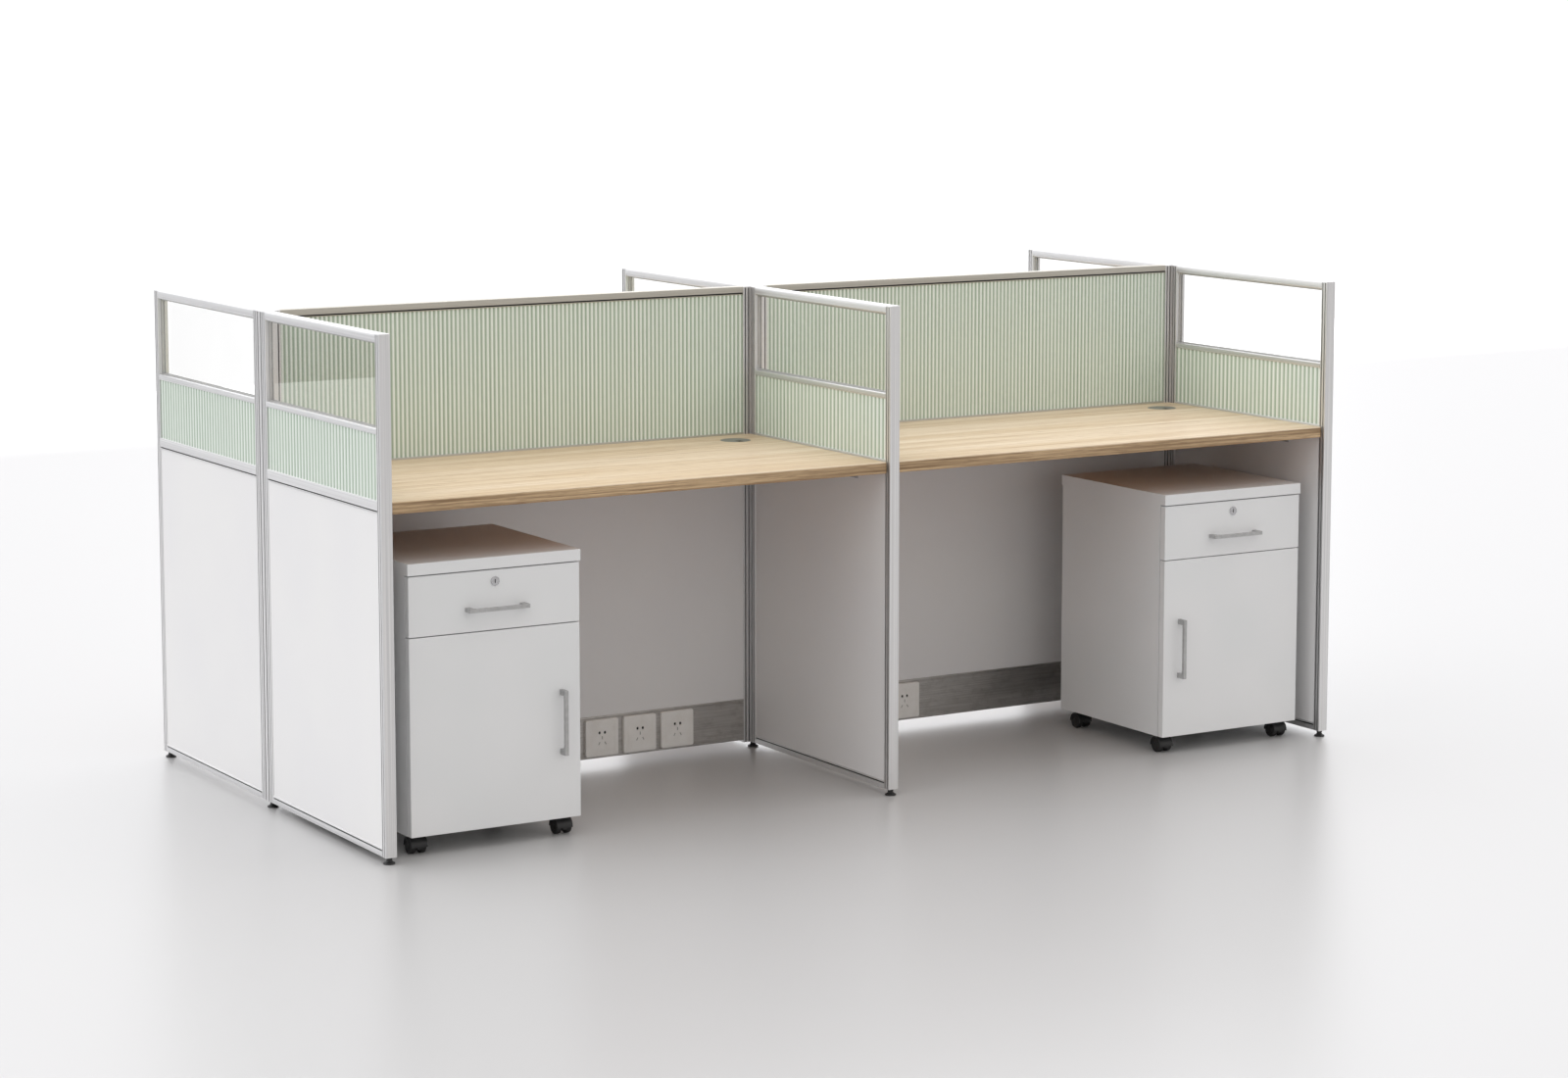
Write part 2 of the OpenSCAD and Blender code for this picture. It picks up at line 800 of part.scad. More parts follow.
module castor(side, corner) {
    axle_z = wheel_d / 2;
    collar_z = castor_h - collar_h;
    side_w = hood_w / 2 - web_w / 2 + overrun;
    color("black")
        at_castor(side, corner) {
            difference() {
                union() {
                    translate([-hood_w / 2, -castor_trail, axle_z]) rotate([0, 90, 0])
                        cylinder(r = hood_r, h = hood_w);
                    translate([0, 0, axle_z]) cylinder(d = collar_d, h = collar_z + collar_h - axle_z);
                }
                for (x = [-hood_w / 2 - overrun, web_w / 2]) {
                    translate([x, -castor_trail, axle_z]) rotate([0, 90, 0])
                        cylinder(r = wheel_d / 2 + hood_gap, h = side_w);
                    below(x, side_w, axle_z - hood_skirt_drop);
                }
                below(-hood_w, 2 * hood_w, axle_z - web_drop);
                translate([-hood_w, -castor_trail, axle_z]) rotate([0, 90, 0])
                    cylinder(d = axle_d + 2 * running_gap, h = 2 * hood_w);
            }
            translate([0, 0, collar_z]) cylinder(d = stem_d, h = collar_h + stem_l);
        }
}

module castor_wheels(side, corner) {
    color("black")
        at_castor(side, corner)
            translate([0, -castor_trail, wheel_d / 2]) rotate([0, 90, 0]) {
                for (x = [-hood_w / 2, wheel_gap / 2])
                    translate([0, 0, x]) cylinder(d = wheel_d, h = wheel_w);
                translate([0, 0, -hood_w / 2]) cylinder(d = axle_d, h = hood_w);
            }
}

connector_posts();
wing_stiles();
wing_top_rails();
wing_mid_rails();
wing_bottom_rails();
clear_panes();
pane_gaskets();
ribbed_wing_panes();
wing_boards();
spine_stiles();
spine_rails();
spine_ribbed_panels();
spine_boards();
trunking();
socket_outlets();
levelling_feet();
desk_grommets();
desk_brackets();
desk_top("front", "left");  // desk_front_left
desk_top("front", "right");  // desk_front_right
desk_top("rear", "left");  // desk_rear_left
desk_top("rear", "right");  // desk_rear_right
for (side = SIDES) {
    unit_case(side);
    unit_top(side);
    drawer_box(side);
    drawer_front(side);
    drawer_handle(side);
    drawer_runners(side);
    unit_door(side);
    door_handle(side);
    hinge_arms(side);
    hinge_cups(side);
    unit_lock(side);
    for (corner = CORNERS) {
        castor(side, corner);
        castor_wheels(side, corner);
    }
}
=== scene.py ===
# %% [markdown]
# # A cubicle workstation, dressed for its photograph
#
# The real thing is a back-to-back office workstation for four people: aluminium framed screens
# with ribbed green panels and clear panes, oak desk tops, a cable trunking with sockets, and two
# white drawer units on castors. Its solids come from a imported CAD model, in metres. This lesson
# loads them, sets up the camera, floor and light, mixes one finish for each real material, and
# then gives every piece its rounded edges or a finer shape of its own.

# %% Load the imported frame
import json
import math

import bmesh
import bpy
import numpy as np
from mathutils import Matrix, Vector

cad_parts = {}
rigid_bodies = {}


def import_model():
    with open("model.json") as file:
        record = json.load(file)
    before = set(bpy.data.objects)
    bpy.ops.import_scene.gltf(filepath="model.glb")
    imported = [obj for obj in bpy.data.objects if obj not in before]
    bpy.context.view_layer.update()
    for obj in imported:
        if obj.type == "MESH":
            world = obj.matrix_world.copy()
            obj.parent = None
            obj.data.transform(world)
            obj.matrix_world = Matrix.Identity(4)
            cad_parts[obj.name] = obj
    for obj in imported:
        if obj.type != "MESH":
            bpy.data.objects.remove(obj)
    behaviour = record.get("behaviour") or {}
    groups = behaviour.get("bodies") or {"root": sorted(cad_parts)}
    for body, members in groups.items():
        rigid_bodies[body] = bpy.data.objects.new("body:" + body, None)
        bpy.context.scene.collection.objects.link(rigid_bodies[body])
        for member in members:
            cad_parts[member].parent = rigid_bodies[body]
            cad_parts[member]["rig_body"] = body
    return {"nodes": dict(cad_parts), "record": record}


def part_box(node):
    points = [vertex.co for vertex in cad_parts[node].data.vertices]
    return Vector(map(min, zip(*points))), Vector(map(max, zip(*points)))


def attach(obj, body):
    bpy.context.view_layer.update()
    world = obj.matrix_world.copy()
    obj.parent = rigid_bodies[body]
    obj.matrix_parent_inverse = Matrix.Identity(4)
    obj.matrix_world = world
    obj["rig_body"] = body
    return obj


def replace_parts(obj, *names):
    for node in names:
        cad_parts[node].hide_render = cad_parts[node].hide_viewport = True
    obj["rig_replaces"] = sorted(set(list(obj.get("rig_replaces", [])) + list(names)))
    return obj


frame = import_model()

MM = 0.001
cad_nodes = frame["nodes"]
cad_slots = {part["node"]: part["material_slot"] for part in frame["record"]["subparts"]}
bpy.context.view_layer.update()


def box_mm(node):
    """The lowest and the highest corner of a CAD node at rest, in mm."""
    return [np.array(corner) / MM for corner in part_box(node)]


# %% [markdown]
# ## Camera
#
# The place, the turn and the focal length come from fitting the CAD corners to the same corners
# in the photograph, 1600 pixels wide. The photographer kept the upright edges parallel, as with
# a shift lens. A small downward shift does most of that, and the gentle pitch does the rest.

# %% Camera
PHOTO_WIDTH = 1600
PHOTO_FOCAL = 3682.4
PHOTO_SHIFT = 100
CAMERA_YAW, CAMERA_PITCH = 31.077, 7.295
CAMERA_PLACE = (-4289.8 * MM, -7261.0 * MM, 1812.4 * MM)

camera_data = bpy.data.cameras.new("studio_camera")
camera_data.sensor_width = 36
camera_data.lens = camera_data.sensor_width * PHOTO_FOCAL / PHOTO_WIDTH
camera_data.shift_y = -PHOTO_SHIFT / PHOTO_WIDTH
camera_data.clip_end = 200
camera = bpy.data.objects.new("studio_camera", camera_data)
camera.location = CAMERA_PLACE
camera.rotation_euler = (math.radians(90 - CAMERA_PITCH), 0, math.radians(-CAMERA_YAW))
bpy.context.scene.collection.objects.link(camera)
bpy.context.scene.camera = camera

look = bpy.context.scene.view_settings
look.view_transform, look.look, look.exposure, look.gamma = "Standard", "None", 0, 1
print("lens in mm:", round(camera_data.lens, 2))

# %% [markdown]
# ## Helpers for finishes
#
# Colours are written as the sRGB hex values that a paint chart gives, and one function turns
# them into the linear numbers that the renderer needs. Another adds one shader node with its
# settings and its links, so that a finish reads like a recipe. Most real surfaces are two close
# tones in a pattern, and the third function lays those down.


# %% Colour and node helpers
def linear(hex_colour):
    """Below 0.04045 the sRGB value is divided by 12.92, above it ((c + 0.055) / 1.055) ^ 2.4."""
    values = [int(hex_colour[i:i + 2], 16) / 255 for i in (1, 3, 5)]
    return (*(c / 12.92 if c <= 0.04045 else ((c + 0.055) / 1.055) ** 2.4 for c in values), 1)


def add(tree, kind, inputs=None, **settings):
    """Adds a node. An input goes by its socket's name or number, and it is a value, a hex colour
    or another node's output."""
    made = tree.nodes.new("ShaderNode" + kind)
    for name, value in settings.items():
        setattr(made, name, value)
    for name, value in (inputs or {}).items():
        if isinstance(value, bpy.types.NodeSocket):
            tree.links.new(value, made.inputs[name])
        else:
            made.inputs[name].default_value = linear(value) if isinstance(value, str) else value
    return made


FACTOR, COLOUR_A, COLOUR_B, MIXED = 0, 6, 7, 2


def two_tones(tree, pattern, first, second, low=0, high=1, share=1):
    """The first colour goes to the second as (pattern - low) / (high - low) goes from 0 to 1,
    and at most by the share."""
    risen = add(tree, "MapRange", {
        "Value": pattern, "From Min": low, "From Max": high, "To Max": share}).outputs[0]
    return add(tree, "Mix", {FACTOR: risen, COLOUR_A: first, COLOUR_B: second},
               data_type="RGBA").outputs[MIXED]


print("mid grey #808080 in linear light:", round(linear("#808080")[0], 3))

# %% [markdown]
# ## Floor
#
# The studio floor is a pale seamless sheet with a low sheen. Seen at a flat angle it mirrors the
# white backdrop softly, so it is nearly white far away and greyer in front of the workstation,
# where the blurred mirror image of the screens takes the backdrop's place. Far behind, it runs
# out into a glowing white strip and ends. A plain plane does all that with one glossy paint,
# whose glow rises with Y, so that no hard line shows. The clear panes mirror the strip as a
# pale veil, from a weaker glow than the camera sees.

# %% Floor
FLOOR_FRONT, FLOOR_BACK, FLOOR_SIDE = -14, 7.8, 16
GLOW_FROM, GLOW_FULL, GLOW, GLOW_MIRRORED = 5.9, 6.7, 1, 0.55
FLOOR_TONE, FLOOR_ROUGHNESS, FLOOR_IOR = "#bebebe", 0.31, 1.7

floor_mesh = bpy.data.meshes.new("studio_floor")
floor_mesh.from_pydata(
    [(-FLOOR_SIDE, FLOOR_FRONT, 0), (FLOOR_SIDE, FLOOR_FRONT, 0),
     (FLOOR_SIDE, FLOOR_BACK, 0), (-FLOOR_SIDE, FLOOR_BACK, 0)], [], [(0, 1, 2, 3)])
floor = bpy.data.objects.new("studio_floor", floor_mesh)
bpy.context.scene.collection.objects.link(floor)

floor_paint = bpy.data.materials.new("studio_floor_paint")
floor_paint.use_nodes = True
tree = floor_paint.node_tree
tree.nodes.clear()
place = add(tree, "SeparateXYZ", {0: add(tree, "TexCoord").outputs["Object"]})
glow = add(tree, "MapRange", {
    "Value": place.outputs["Y"], "From Min": GLOW_FROM, "From Max": GLOW_FULL},
    interpolation_type="SMOOTHSTEP").outputs[0]
seen_glow = add(tree, "MapRange", {
    "Value": add(tree, "LightPath").outputs["Is Camera Ray"], "To Min": GLOW_MIRRORED,
    "To Max": GLOW}).outputs[0]
glow_strength = add(tree, "Math", {0: glow, 1: seen_glow}, operation="MULTIPLY").outputs[0]
shader = add(tree, "BsdfPrincipled", {
    "Base Color": two_tones(tree, glow, FLOOR_TONE, "#000000"), "Roughness": FLOOR_ROUGHNESS,
    "IOR": FLOOR_IOR, "Emission Color": "#ffffff", "Emission Strength": glow_strength})
add(tree, "OutputMaterial", {"Surface": shader.outputs[0]})
floor_mesh.materials.append(floor_paint)
print("floor from", FLOOR_FRONT, "to", FLOOR_BACK, "metres")

# %% [markdown]
# ## Soft light from all round
#
# The studio is white all round: soft light from everywhere above the floor, strongest overhead,
# a little weaker and warmer from the front, where the camera stands, and next to nothing from
# below. A sky does that, whose strength follows from x, y and z of the direction.

# %% Sky
SKY_HIGH, SKY_LOW, SKY_EDGE, ZENITH_BOOST = 1.3, 0.06, 0.02, 0.5
FRONT_SHARE, FRONT_ENDS, BACK_STARTS = 0.56, -0.7, 0.3
FRONT_WARMTH, BACK_WARMTH = "#fff6ec", "#fdfdff"

world = bpy.data.worlds.new("studio_sky")
bpy.context.scene.world = world
world.use_nodes = True
tree = world.node_tree
tree.nodes.clear()
direction = add(tree, "TexCoord").outputs["Generated"]
ray = add(tree, "SeparateXYZ", {0: direction})
height = add(tree, "MapRange", {
    "Value": ray.outputs["Z"], "From Min": -SKY_EDGE, "From Max": SKY_EDGE,
    "To Min": SKY_LOW, "To Max": SKY_HIGH}).outputs[0]
overhead = add(tree, "MapRange", {
    "Value": ray.outputs["Z"], "To Min": 1, "To Max": 1 + ZENITH_BOOST}).outputs[0]
toward_back = add(tree, "MapRange", {
    "Value": ray.outputs["Y"], "From Min": FRONT_ENDS, "From Max": BACK_STARTS,
    "To Min": FRONT_SHARE}, interpolation_type="SMOOTHSTEP").outputs[0]
print("sky strength from behind and from the front:", SKY_HIGH, SKY_HIGH * FRONT_SHARE)

# %% [markdown]
# ## A low softbox behind
#
# A bright strip lies on the floor under the trunking and the tops of the rails shine, so a
# low softbox stands behind, 31 degrees to the right. It is full within 3 degrees and gone at 9:
# the cosine of that angle is the direction's dot product with the softbox's own, over the
# level length, the square root of 1 - z * z. It fades as z goes from 0.3 to 0.5. The camera
# sees plain white behind the workstation, as in a cut-out catalogue picture, and a little more
# than white, so that it stays white through the clear panes.

# %% Softbox and backdrop
SOFTBOX_TURN, SOFTBOX_CORE, SOFTBOX_RIM = (math.radians(angle) for angle in (31, 3, 9))
SOFTBOX_BOOST, FULL_BELOW, GONE_ABOVE, BACKDROP = 0.8, 0.3, 0.5, 1.2

toward_softbox = add(tree, "VectorMath", {
    0: direction, 1: (math.sin(SOFTBOX_TURN), math.cos(SOFTBOX_TURN), 0)},
    operation="DOT_PRODUCT").outputs["Value"]
z_squared = add(tree, "Math", {0: ray.outputs["Z"], 1: 2}, operation="POWER").outputs[0]
level_squared = add(tree, "Math", {0: 1, 1: z_squared}, operation="SUBTRACT").outputs[0]
level_length = add(tree, "Math", {0: level_squared, 1: 0.5}, operation="POWER").outputs[0]
sideways = add(tree, "Math", {0: toward_softbox, 1: level_length}, operation="DIVIDE").outputs[0]
in_softbox = add(tree, "MapRange", {
    "Value": sideways, "From Min": math.cos(SOFTBOX_RIM), "From Max": math.cos(SOFTBOX_CORE)},
    interpolation_type="SMOOTHSTEP").outputs[0]
low_down = add(tree, "MapRange", {
    "Value": ray.outputs["Z"], "From Min": FULL_BELOW, "From Max": GONE_ABOVE,
    "To Min": SOFTBOX_BOOST, "To Max": 0}, interpolation_type="SMOOTHSTEP").outputs[0]
boost = add(tree, "Math", {0: in_softbox, 1: low_down, 2: 1}, operation="MULTIPLY_ADD")
strength = boost.outputs[0]
for share in (height, overhead, toward_back):
    strength = add(tree, "Math", {0: strength, 1: share}, operation="MULTIPLY").outputs[0]
sky = add(tree, "Background", {
    "Color": two_tones(tree, toward_back, FRONT_WARMTH, BACK_WARMTH), "Strength": strength})
white = add(tree, "Background", {"Color": "#ffffff", "Strength": BACKDROP})
seen = add(tree, "MixShader", {
    0: add(tree, "LightPath").outputs["Is Camera Ray"], 1: sky.outputs[0], 2: white.outputs[0]})
add(tree, "OutputWorld", {"Surface": seen.outputs[0]})
print("softbox strength:", SKY_HIGH * (1 + SOFTBOX_BOOST), "and the backdrop seen:", BACKDROP)

# %% [markdown]
# ## A recipe for every finish
#
# Each finish starts the same way: a Principled shader wired to the output, whose fixed values
# go straight onto its sockets. Its patterns are noise on the object's own coordinates, at a
# real size. One of them changes the gloss and dents the surface, as a real grain does both.

# %% Start and close a finish
def start_finish(name, **sockets):
    """A new material with a Principled shader; underscores in a socket's name stand for spaces."""
    material = bpy.data.materials.new(name)
    material.use_nodes = True
    made = material.node_tree
    made.nodes.clear()
    values = {key.replace("_", " "): value for key, value in sockets.items()}
    principled = add(made, "BsdfPrincipled", values)
    add(made, "OutputMaterial", {"Surface": principled.outputs[0]})
    return material, made, principled


def grain_noise(tree, spacing, detail=3, roughness=0.5, offset=(0, 0, 0)):
    """Noise on object coordinates, about one wave per spacing, which is given in mm per axis."""
    where = add(tree, "Mapping", {
        "Vector": add(tree, "TexCoord").outputs["Object"],
        "Scale": [1 / (step * MM) for step in spacing], "Location": offset})
    return add(tree, "TexNoise", {
        "Vector": where.outputs[0], "Scale": 1, "Detail": detail,
        "Roughness": roughness}).outputs["Fac"]


def close_finish(tree, shader, colour, grain, low, high, smooth, rough, dents=0):
    """Roughness goes from smooth to rough as the grain goes from low to high, and the grain of
    0 to 1 lifts the surface by the dents in mm."""
    gloss = add(tree, "MapRange", {"Value": grain, "From Min": low, "From Max": high,
                                   "To Min": smooth, "To Max": rough})
    tree.links.new(colour, shader.inputs["Base Color"])
    tree.links.new(gloss.outputs[0], shader.inputs["Roughness"])
    if dents:
        relief = add(tree, "Bump", {"Height": grain, "Distance": dents * MM, "Strength": 1})
        tree.links.new(relief.outputs[0], shader.inputs["Normal"])


print("a grain every 2 mm is a noise of scale", 1 / (2 * MM))

# %% [markdown]
# ## Satin anodised aluminium
#
# The screen frames are extruded aluminium profiles with a satin silver anodised skin. The die
# leaves faint lines along the profile, and the acid bath leaves a fine even grain. Real die
# lines are about 0.3 mm apart; they are drawn at 2 mm so that they show at all. The same
# recipe is made three times, with the lines along X, Y or Z, as the profiles run. The rails of
# the spine, along X, get a darker and slightly brown tone: painted shade and a painted warm
# reflection of the oak desks. The floors of the grooves are painted near black as painted
# shade, and an attribute of the pieces made below says where.

# %% Anodised aluminium
# The third of these is the near black that is painted as shade into the grooves.
DIE_LINE, LINE_LENGTH, GROOVE_SHADE_TONE = 2, 900, "#3c3c3e"


def anodised(name, along, dull="#d8d8d9", bright="#eeeeee"):
    """Streaks: noise stretched 900 mm along the profile and 2 mm across it."""
    material, tree, shader = start_finish(name, Metallic=1)
    spacing = [DIE_LINE] * 3
    spacing[along] = LINE_LENGTH
    streaks = grain_noise(tree, spacing)
    skin_tone = two_tones(tree, streaks, dull, bright, 0.3, 0.7)
    # Painted shade: the floors of the grooves go near black.
    seal = add(tree, "Attribute", attribute_name="seal").outputs["Fac"]
    close_finish(tree, shader, two_tones(tree, seal, skin_tone, GROOVE_SHADE_TONE),
                 streaks, 0.2, 0.8, 0.42, 0.54, dents=0.04)
    return material


# The spine rails' darker, browner tones are painted shade and a painted warm reflection of the
# oak.
FRAME_FINISH = [anodised("spine_rail_aluminium_painted_shade_along_x", 0, "#b8b5ac", "#c8c5bc"),
                anodised("anodised_aluminium_along_y", 1),
                anodised("anodised_aluminium_along_z", 2)]
print("die lines every", DIE_LINE, "mm")

# %% [markdown]
# ## White melamine board
#
# The lower boards are chipboard pressed with white melamine paper. The press plate gives it a
# fine pearl texture, with bumps about 0.8 mm wide that are drawn at 3 mm here, and a soft
# sheen. The drawer units have the same paper pressed with a smooth plate, so they are glossier.

# %% Melamine
PEARL, PAPER_DRIFT = 3, 250


def melamine(name, pale, shade, gloss, dents):
    """Two close whites drift over a quarter of a metre, and the pearl dents break the sheen."""
    material, tree, shader = start_finish(name, IOR=1.6)
    drift = grain_noise(tree, (PAPER_DRIFT,) * 3, detail=1)
    pearl = grain_noise(tree, (PEARL,) * 3, detail=1)
    close_finish(tree, shader, two_tones(tree, drift, pale, shade, 0.35, 0.65),
                 pearl, 0.2, 0.8, gloss - 0.03, gloss + 0.03, dents)
    return material


board_white = melamine("white_pearl_melamine", "#ededed", "#ebebec", 0.45, 0.012)
unit_white = melamine("white_smooth_melamine", "#e6e7e8", "#e2e4e5", 0.4, 0.003)
drawer_pale = melamine("pale_drawer_melamine", "#dedcd8", "#d8d6d1", 0.5, 0.03)
print("pearl bumps every", PEARL, "mm")

# %% [markdown]
# ## Ribbed green panel
#
# The panels are cast in pale green acrylic with upright half-round ribs and a satin gloss. The
# crests are painted paler and the valleys between them deeper green: painted light on the crests
# and painted shade in the valleys. The pieces made below store the rib height as an attribute,
# from 0 in a valley to 1 on a crest. Both tones drift a little in clouds 60 mm wide and 400 mm
# high.

# %% Ribbed panel finish
CLOUD_SIZE = (60, 60, 400)

ribbed_green, tree, shader = start_finish(
    "green_acrylic_painted_rib_shade", Roughness=0.32, IOR=1.49, Coat_Weight=0.15, Coat_Roughness=0.2)
# Painted shade and painted light: valleys go to the darker green and crests to the near white.
crest = add(tree, "Attribute", attribute_name="rib_height").outputs["Fac"]
cloud = grain_noise(tree, CLOUD_SIZE, detail=2)
valley_green_painted_shade = two_tones(tree, cloud, "#9caf9c", "#a5b8a5")
crest_green_painted_light = two_tones(tree, cloud, "#eef7f0", "#f4faf5")
tree.links.new(two_tones(tree, crest, valley_green_painted_shade, crest_green_painted_light), shader.inputs["Base Color"])
print("ribbed panel finish:", ribbed_green.name)

# %% [markdown]
# ## Clear float glass
#
# The panes are 5 mm float glass with the usual thin coating against glare. Each face mirrors
# 2 % of the light head on and far more at a flat angle, and the rest goes straight through. So
# the shader is a perfect mirror that is as opaque as that share, by Schlick's rule: the share
# head on plus the rest times (1 - cos) to a power between 5 and 6. It throws no false shadow,
# and the dim film that dust leaves adds one part in a hundred, in clouds 80 mm wide.

# %% Glass
HEAD_ON, SCHLICK_POWER, FILM_SIZE, FILM = 0.02, 5.6, 80, 0.01

clear_glass, tree, shader = start_finish("clear_float_glass", Metallic=1, Roughness=0.0)
facing = add(tree, "LayerWeight", {"Blend": 0.5}).outputs["Facing"]
rise = add(tree, "Math", {0: facing, 1: SCHLICK_POWER}, operation="POWER").outputs[0]
mirror = add(tree, "MapRange", {"Value": rise, "To Min": HEAD_ON}).outputs[0]
film = add(tree, "MapRange", {
    "Value": grain_noise(tree, (FILM_SIZE,) * 3), "From Min": 0.3, "From Max": 0.7,
    "To Max": FILM}).outputs[0]
opaque = add(tree, "Math", {0: mirror, 1: film}, operation="ADD", use_clamp=True)
tree.links.new(opaque.outputs[0], shader.inputs["Alpha"])
tree.links.new(two_tones(tree, film, "#f6fbf8", "#e6ece8"), shader.inputs["Base Color"])
print("mirrored head on by each face:", HEAD_ON)

# %% [markdown]
# ## Oak melamine
#
# The desk tops are chipboard with an oak print on all sides: pale bands along X, finer streaks,
# and short dark pores. Bands are 45 mm wide and over a metre long, streaks 6 mm, pores 2.5 mm
# wide and 50 mm long, a little coarser than in real oak. The edging tape on the rim is a
# darker, redder print with strong streaks and fine dark lines about 2 mm apart, and the
# underside is a plain brown balancing paper. Each is chosen by the height of the surface. The
# white unit tops mirror that brown underside.

# %% Oak
TOP_SKIN, LOWER_SKIN, SKIN_FADE = 2.4, 0.4, 0.2
BAND_SIZE, STREAK_SIZE, PORE_SIZE = (1100, 45, 45), (520, 6, 6), (50, 2.5, 2.5)
TAPE_LINE_SIZE = (60, 2.4, 1.8)


def oak(name, offset):
    """Mixes three oak tones by three noises of falling size, all stretched along X."""
    material, tree, shader = start_finish(name, IOR=1.5)
    bands = grain_noise(tree, BAND_SIZE, detail=2, offset=offset)
    streaks = grain_noise(tree, STREAK_SIZE, detail=4, roughness=0.6, offset=offset)
    pores = grain_noise(tree, PORE_SIZE, detail=1, offset=offset)
    board = two_tones(tree, bands, "#d3bb98", "#e8d7be", 0.3, 0.7)
    board = two_tones(tree, streaks, board, "#b8956a", 0.52, 0.66, share=0.8)
    board = two_tones(tree, pores, board, "#94744c", 0.6, 0.75, share=0.5)
    tape_lines = grain_noise(tree, TAPE_LINE_SIZE, roughness=0.6, offset=offset)
    tape = two_tones(tree, streaks, "#d2b58e", "#846949", 0.35, 0.65)
    tape = two_tones(tree, tape_lines, tape, "#664a30", 0.5, 0.75, share=0.85)
    height = add(tree, "SeparateXYZ", {0: add(tree, "TexCoord").outputs["Object"]}).outputs["Z"]
    low_z, top_z = (corner.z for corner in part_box("desk_front_left"))
    paper_end, print_start = low_z + LOWER_SKIN * MM, top_z - TOP_SKIN * MM
    rim = two_tones(tree, height, "#b87e40", tape, paper_end, paper_end + SKIN_FADE * MM)
    skin_tone = two_tones(tree, height, rim, board, print_start, print_start + SKIN_FADE * MM)
    close_finish(tree, shader, skin_tone, pores, 0.3, 0.8, 0.36, 0.5, dents=0.05)
    return material


oak_front = oak("oak_melamine_front", (0, 0, 0))
oak_rear = oak("oak_melamine_rear", (3.1, 7.7, 0))
print("edge tape starts", TOP_SKIN, "mm below the top face")

# %% [markdown]
# ## Brushed trunking
#
# The cable trunking is aluminium sheet, brushed along its length and then lacquered. The
# brushing is coarser than the die lines of the frame, and the lacquer pools in soft darker
# patches a few centimetres wide. Its clip steps are painted near black as painted shade, by
# the same attribute as the painted shade in the frame grooves.

# %% Trunking finish
BRUSH_SIZE, PATCH_SIZE = (160, 3, 3), (30, 30, 18)

brushed, tree, shader = start_finish("brushed_aluminium_sheet", Metallic=1)
brush = grain_noise(tree, BRUSH_SIZE, detail=4, roughness=0.7)
patch = grain_noise(tree, PATCH_SIZE, roughness=0.65)
tone = two_tones(tree, brush, "#b1aeab", "#d2d0cd", 0.3, 0.7)
tone = two_tones(tree, patch, tone, "#93908c", 0.5, 0.8, share=0.5)
# Painted shade: the floors of the clip steps go to the same near black.
seal = add(tree, "Attribute", attribute_name="seal").outputs["Fac"]
close_finish(tree, shader, two_tones(tree, seal, tone, GROOVE_SHADE_TONE),
             brush, 0.2, 0.8, 0.32, 0.48, dents=0.06)
print("trunking finish:", brushed.name)

# %% [markdown]
# ## Moulded plastics and rubber
#
# Sockets are white thermoset with a satin gloss, feet and castor hoods are black nylon from a
# spark-eroded mould, castor treads are a softer black polyurethane, grommets are grey-green
# ABS and gaskets are matt extruded rubber. They differ in tone and gloss, and share one moulded
# grain, about 0.4 mm on the real part and drawn at 1.5 mm. An attribute paints shade into deep
# holes, near black.

# %% Plastics
MOULD_GRAIN, MOULD_DENTS, WEAR_SIZE = 1.5, 0.02, 25


def moulded(name, colour, worn, gloss, painted_shade_where=None):
    """One tone that drifts to a slightly worn one, with a fine moulded grain in the gloss."""
    material, tree, shader = start_finish(name, IOR=1.5)
    drift = grain_noise(tree, (WEAR_SIZE,) * 3)
    tone = two_tones(tree, drift, colour, worn, 0.4, 0.8)
    # Painted shade: where the attribute is 1 the tone goes to near black.
    if painted_shade_where:
        depth = add(tree, "Attribute", attribute_name=painted_shade_where).outputs["Fac"]
        tone = two_tones(tree, depth, tone, "#141414")
    grain = grain_noise(tree, (MOULD_GRAIN,) * 3, detail=1)
    close_finish(tree, shader, tone, grain, 0.2, 0.8, gloss - 0.05, gloss + 0.05, MOULD_DENTS)
    return material


socket_white = moulded("white_thermoset", "#f7f6f3", "#f0eeea", 0.3, painted_shade_where="deep_hole")
nylon_black = moulded("black_moulded_nylon", "#1f1f20", "#2b2b2c", 0.42)
tread_black = moulded("black_castor_tread", "#191919", "#242424", 0.6)
grommet_grey = moulded("grey_green_abs", "#7f8078", "#75766e", 0.45)
gasket_grey = moulded("pale_gasket_rubber", "#b4b4b2", "#a6a6a4", 0.6)
print("moulded grain every", MOULD_GRAIN, "mm")

# %% [markdown]
# ## Small metal parts
#
# Brackets, hinges and runners are zinc plated steel, with the cloudy bloom of passivated zinc.
# The bow handles are die-cast zinc with satin nickel plating, and the lock front is chrome
# plated and smoother.


# %% Metals
def plated(name, bright, dull, gloss, cloud_size):
    """Two tones of one metal in clouds, the duller one a little rougher."""
    material, tree, shader = start_finish(name, Metallic=1)
    cloud = grain_noise(tree, (cloud_size,) * 3)
    close_finish(tree, shader, two_tones(tree, cloud, bright, dull, 0.35, 0.7),
                 cloud, 0.3, 0.7, gloss, gloss + 0.1)
    return material


zinc_steel = plated("zinc_plated_steel", "#c3c5c8", "#a9acb0", 0.36, 8)
satin_nickel = plated("satin_nickel", "#bebebe", "#b0b0b0", 0.4, 12)
lock_chrome = plated("satin_chrome", "#c6c6c8", "#b4b4b6", 0.2, 6)
print("metal finishes:", zinc_steel.name, satin_nickel.name, lock_chrome.name)

# %% [markdown]
# ## Rounded edges on the CAD pieces
#
# Sawn boards never have perfectly sharp edges, and the thin line of light along an edge makes
# them look real. The CAD mesh is loose triangles, so a copy is merged and its flat faces are
# joined, and a live Bevel modifier rounds what is sharper than 30 degrees. The copy rides on
# the same body and stands for the CAD node.

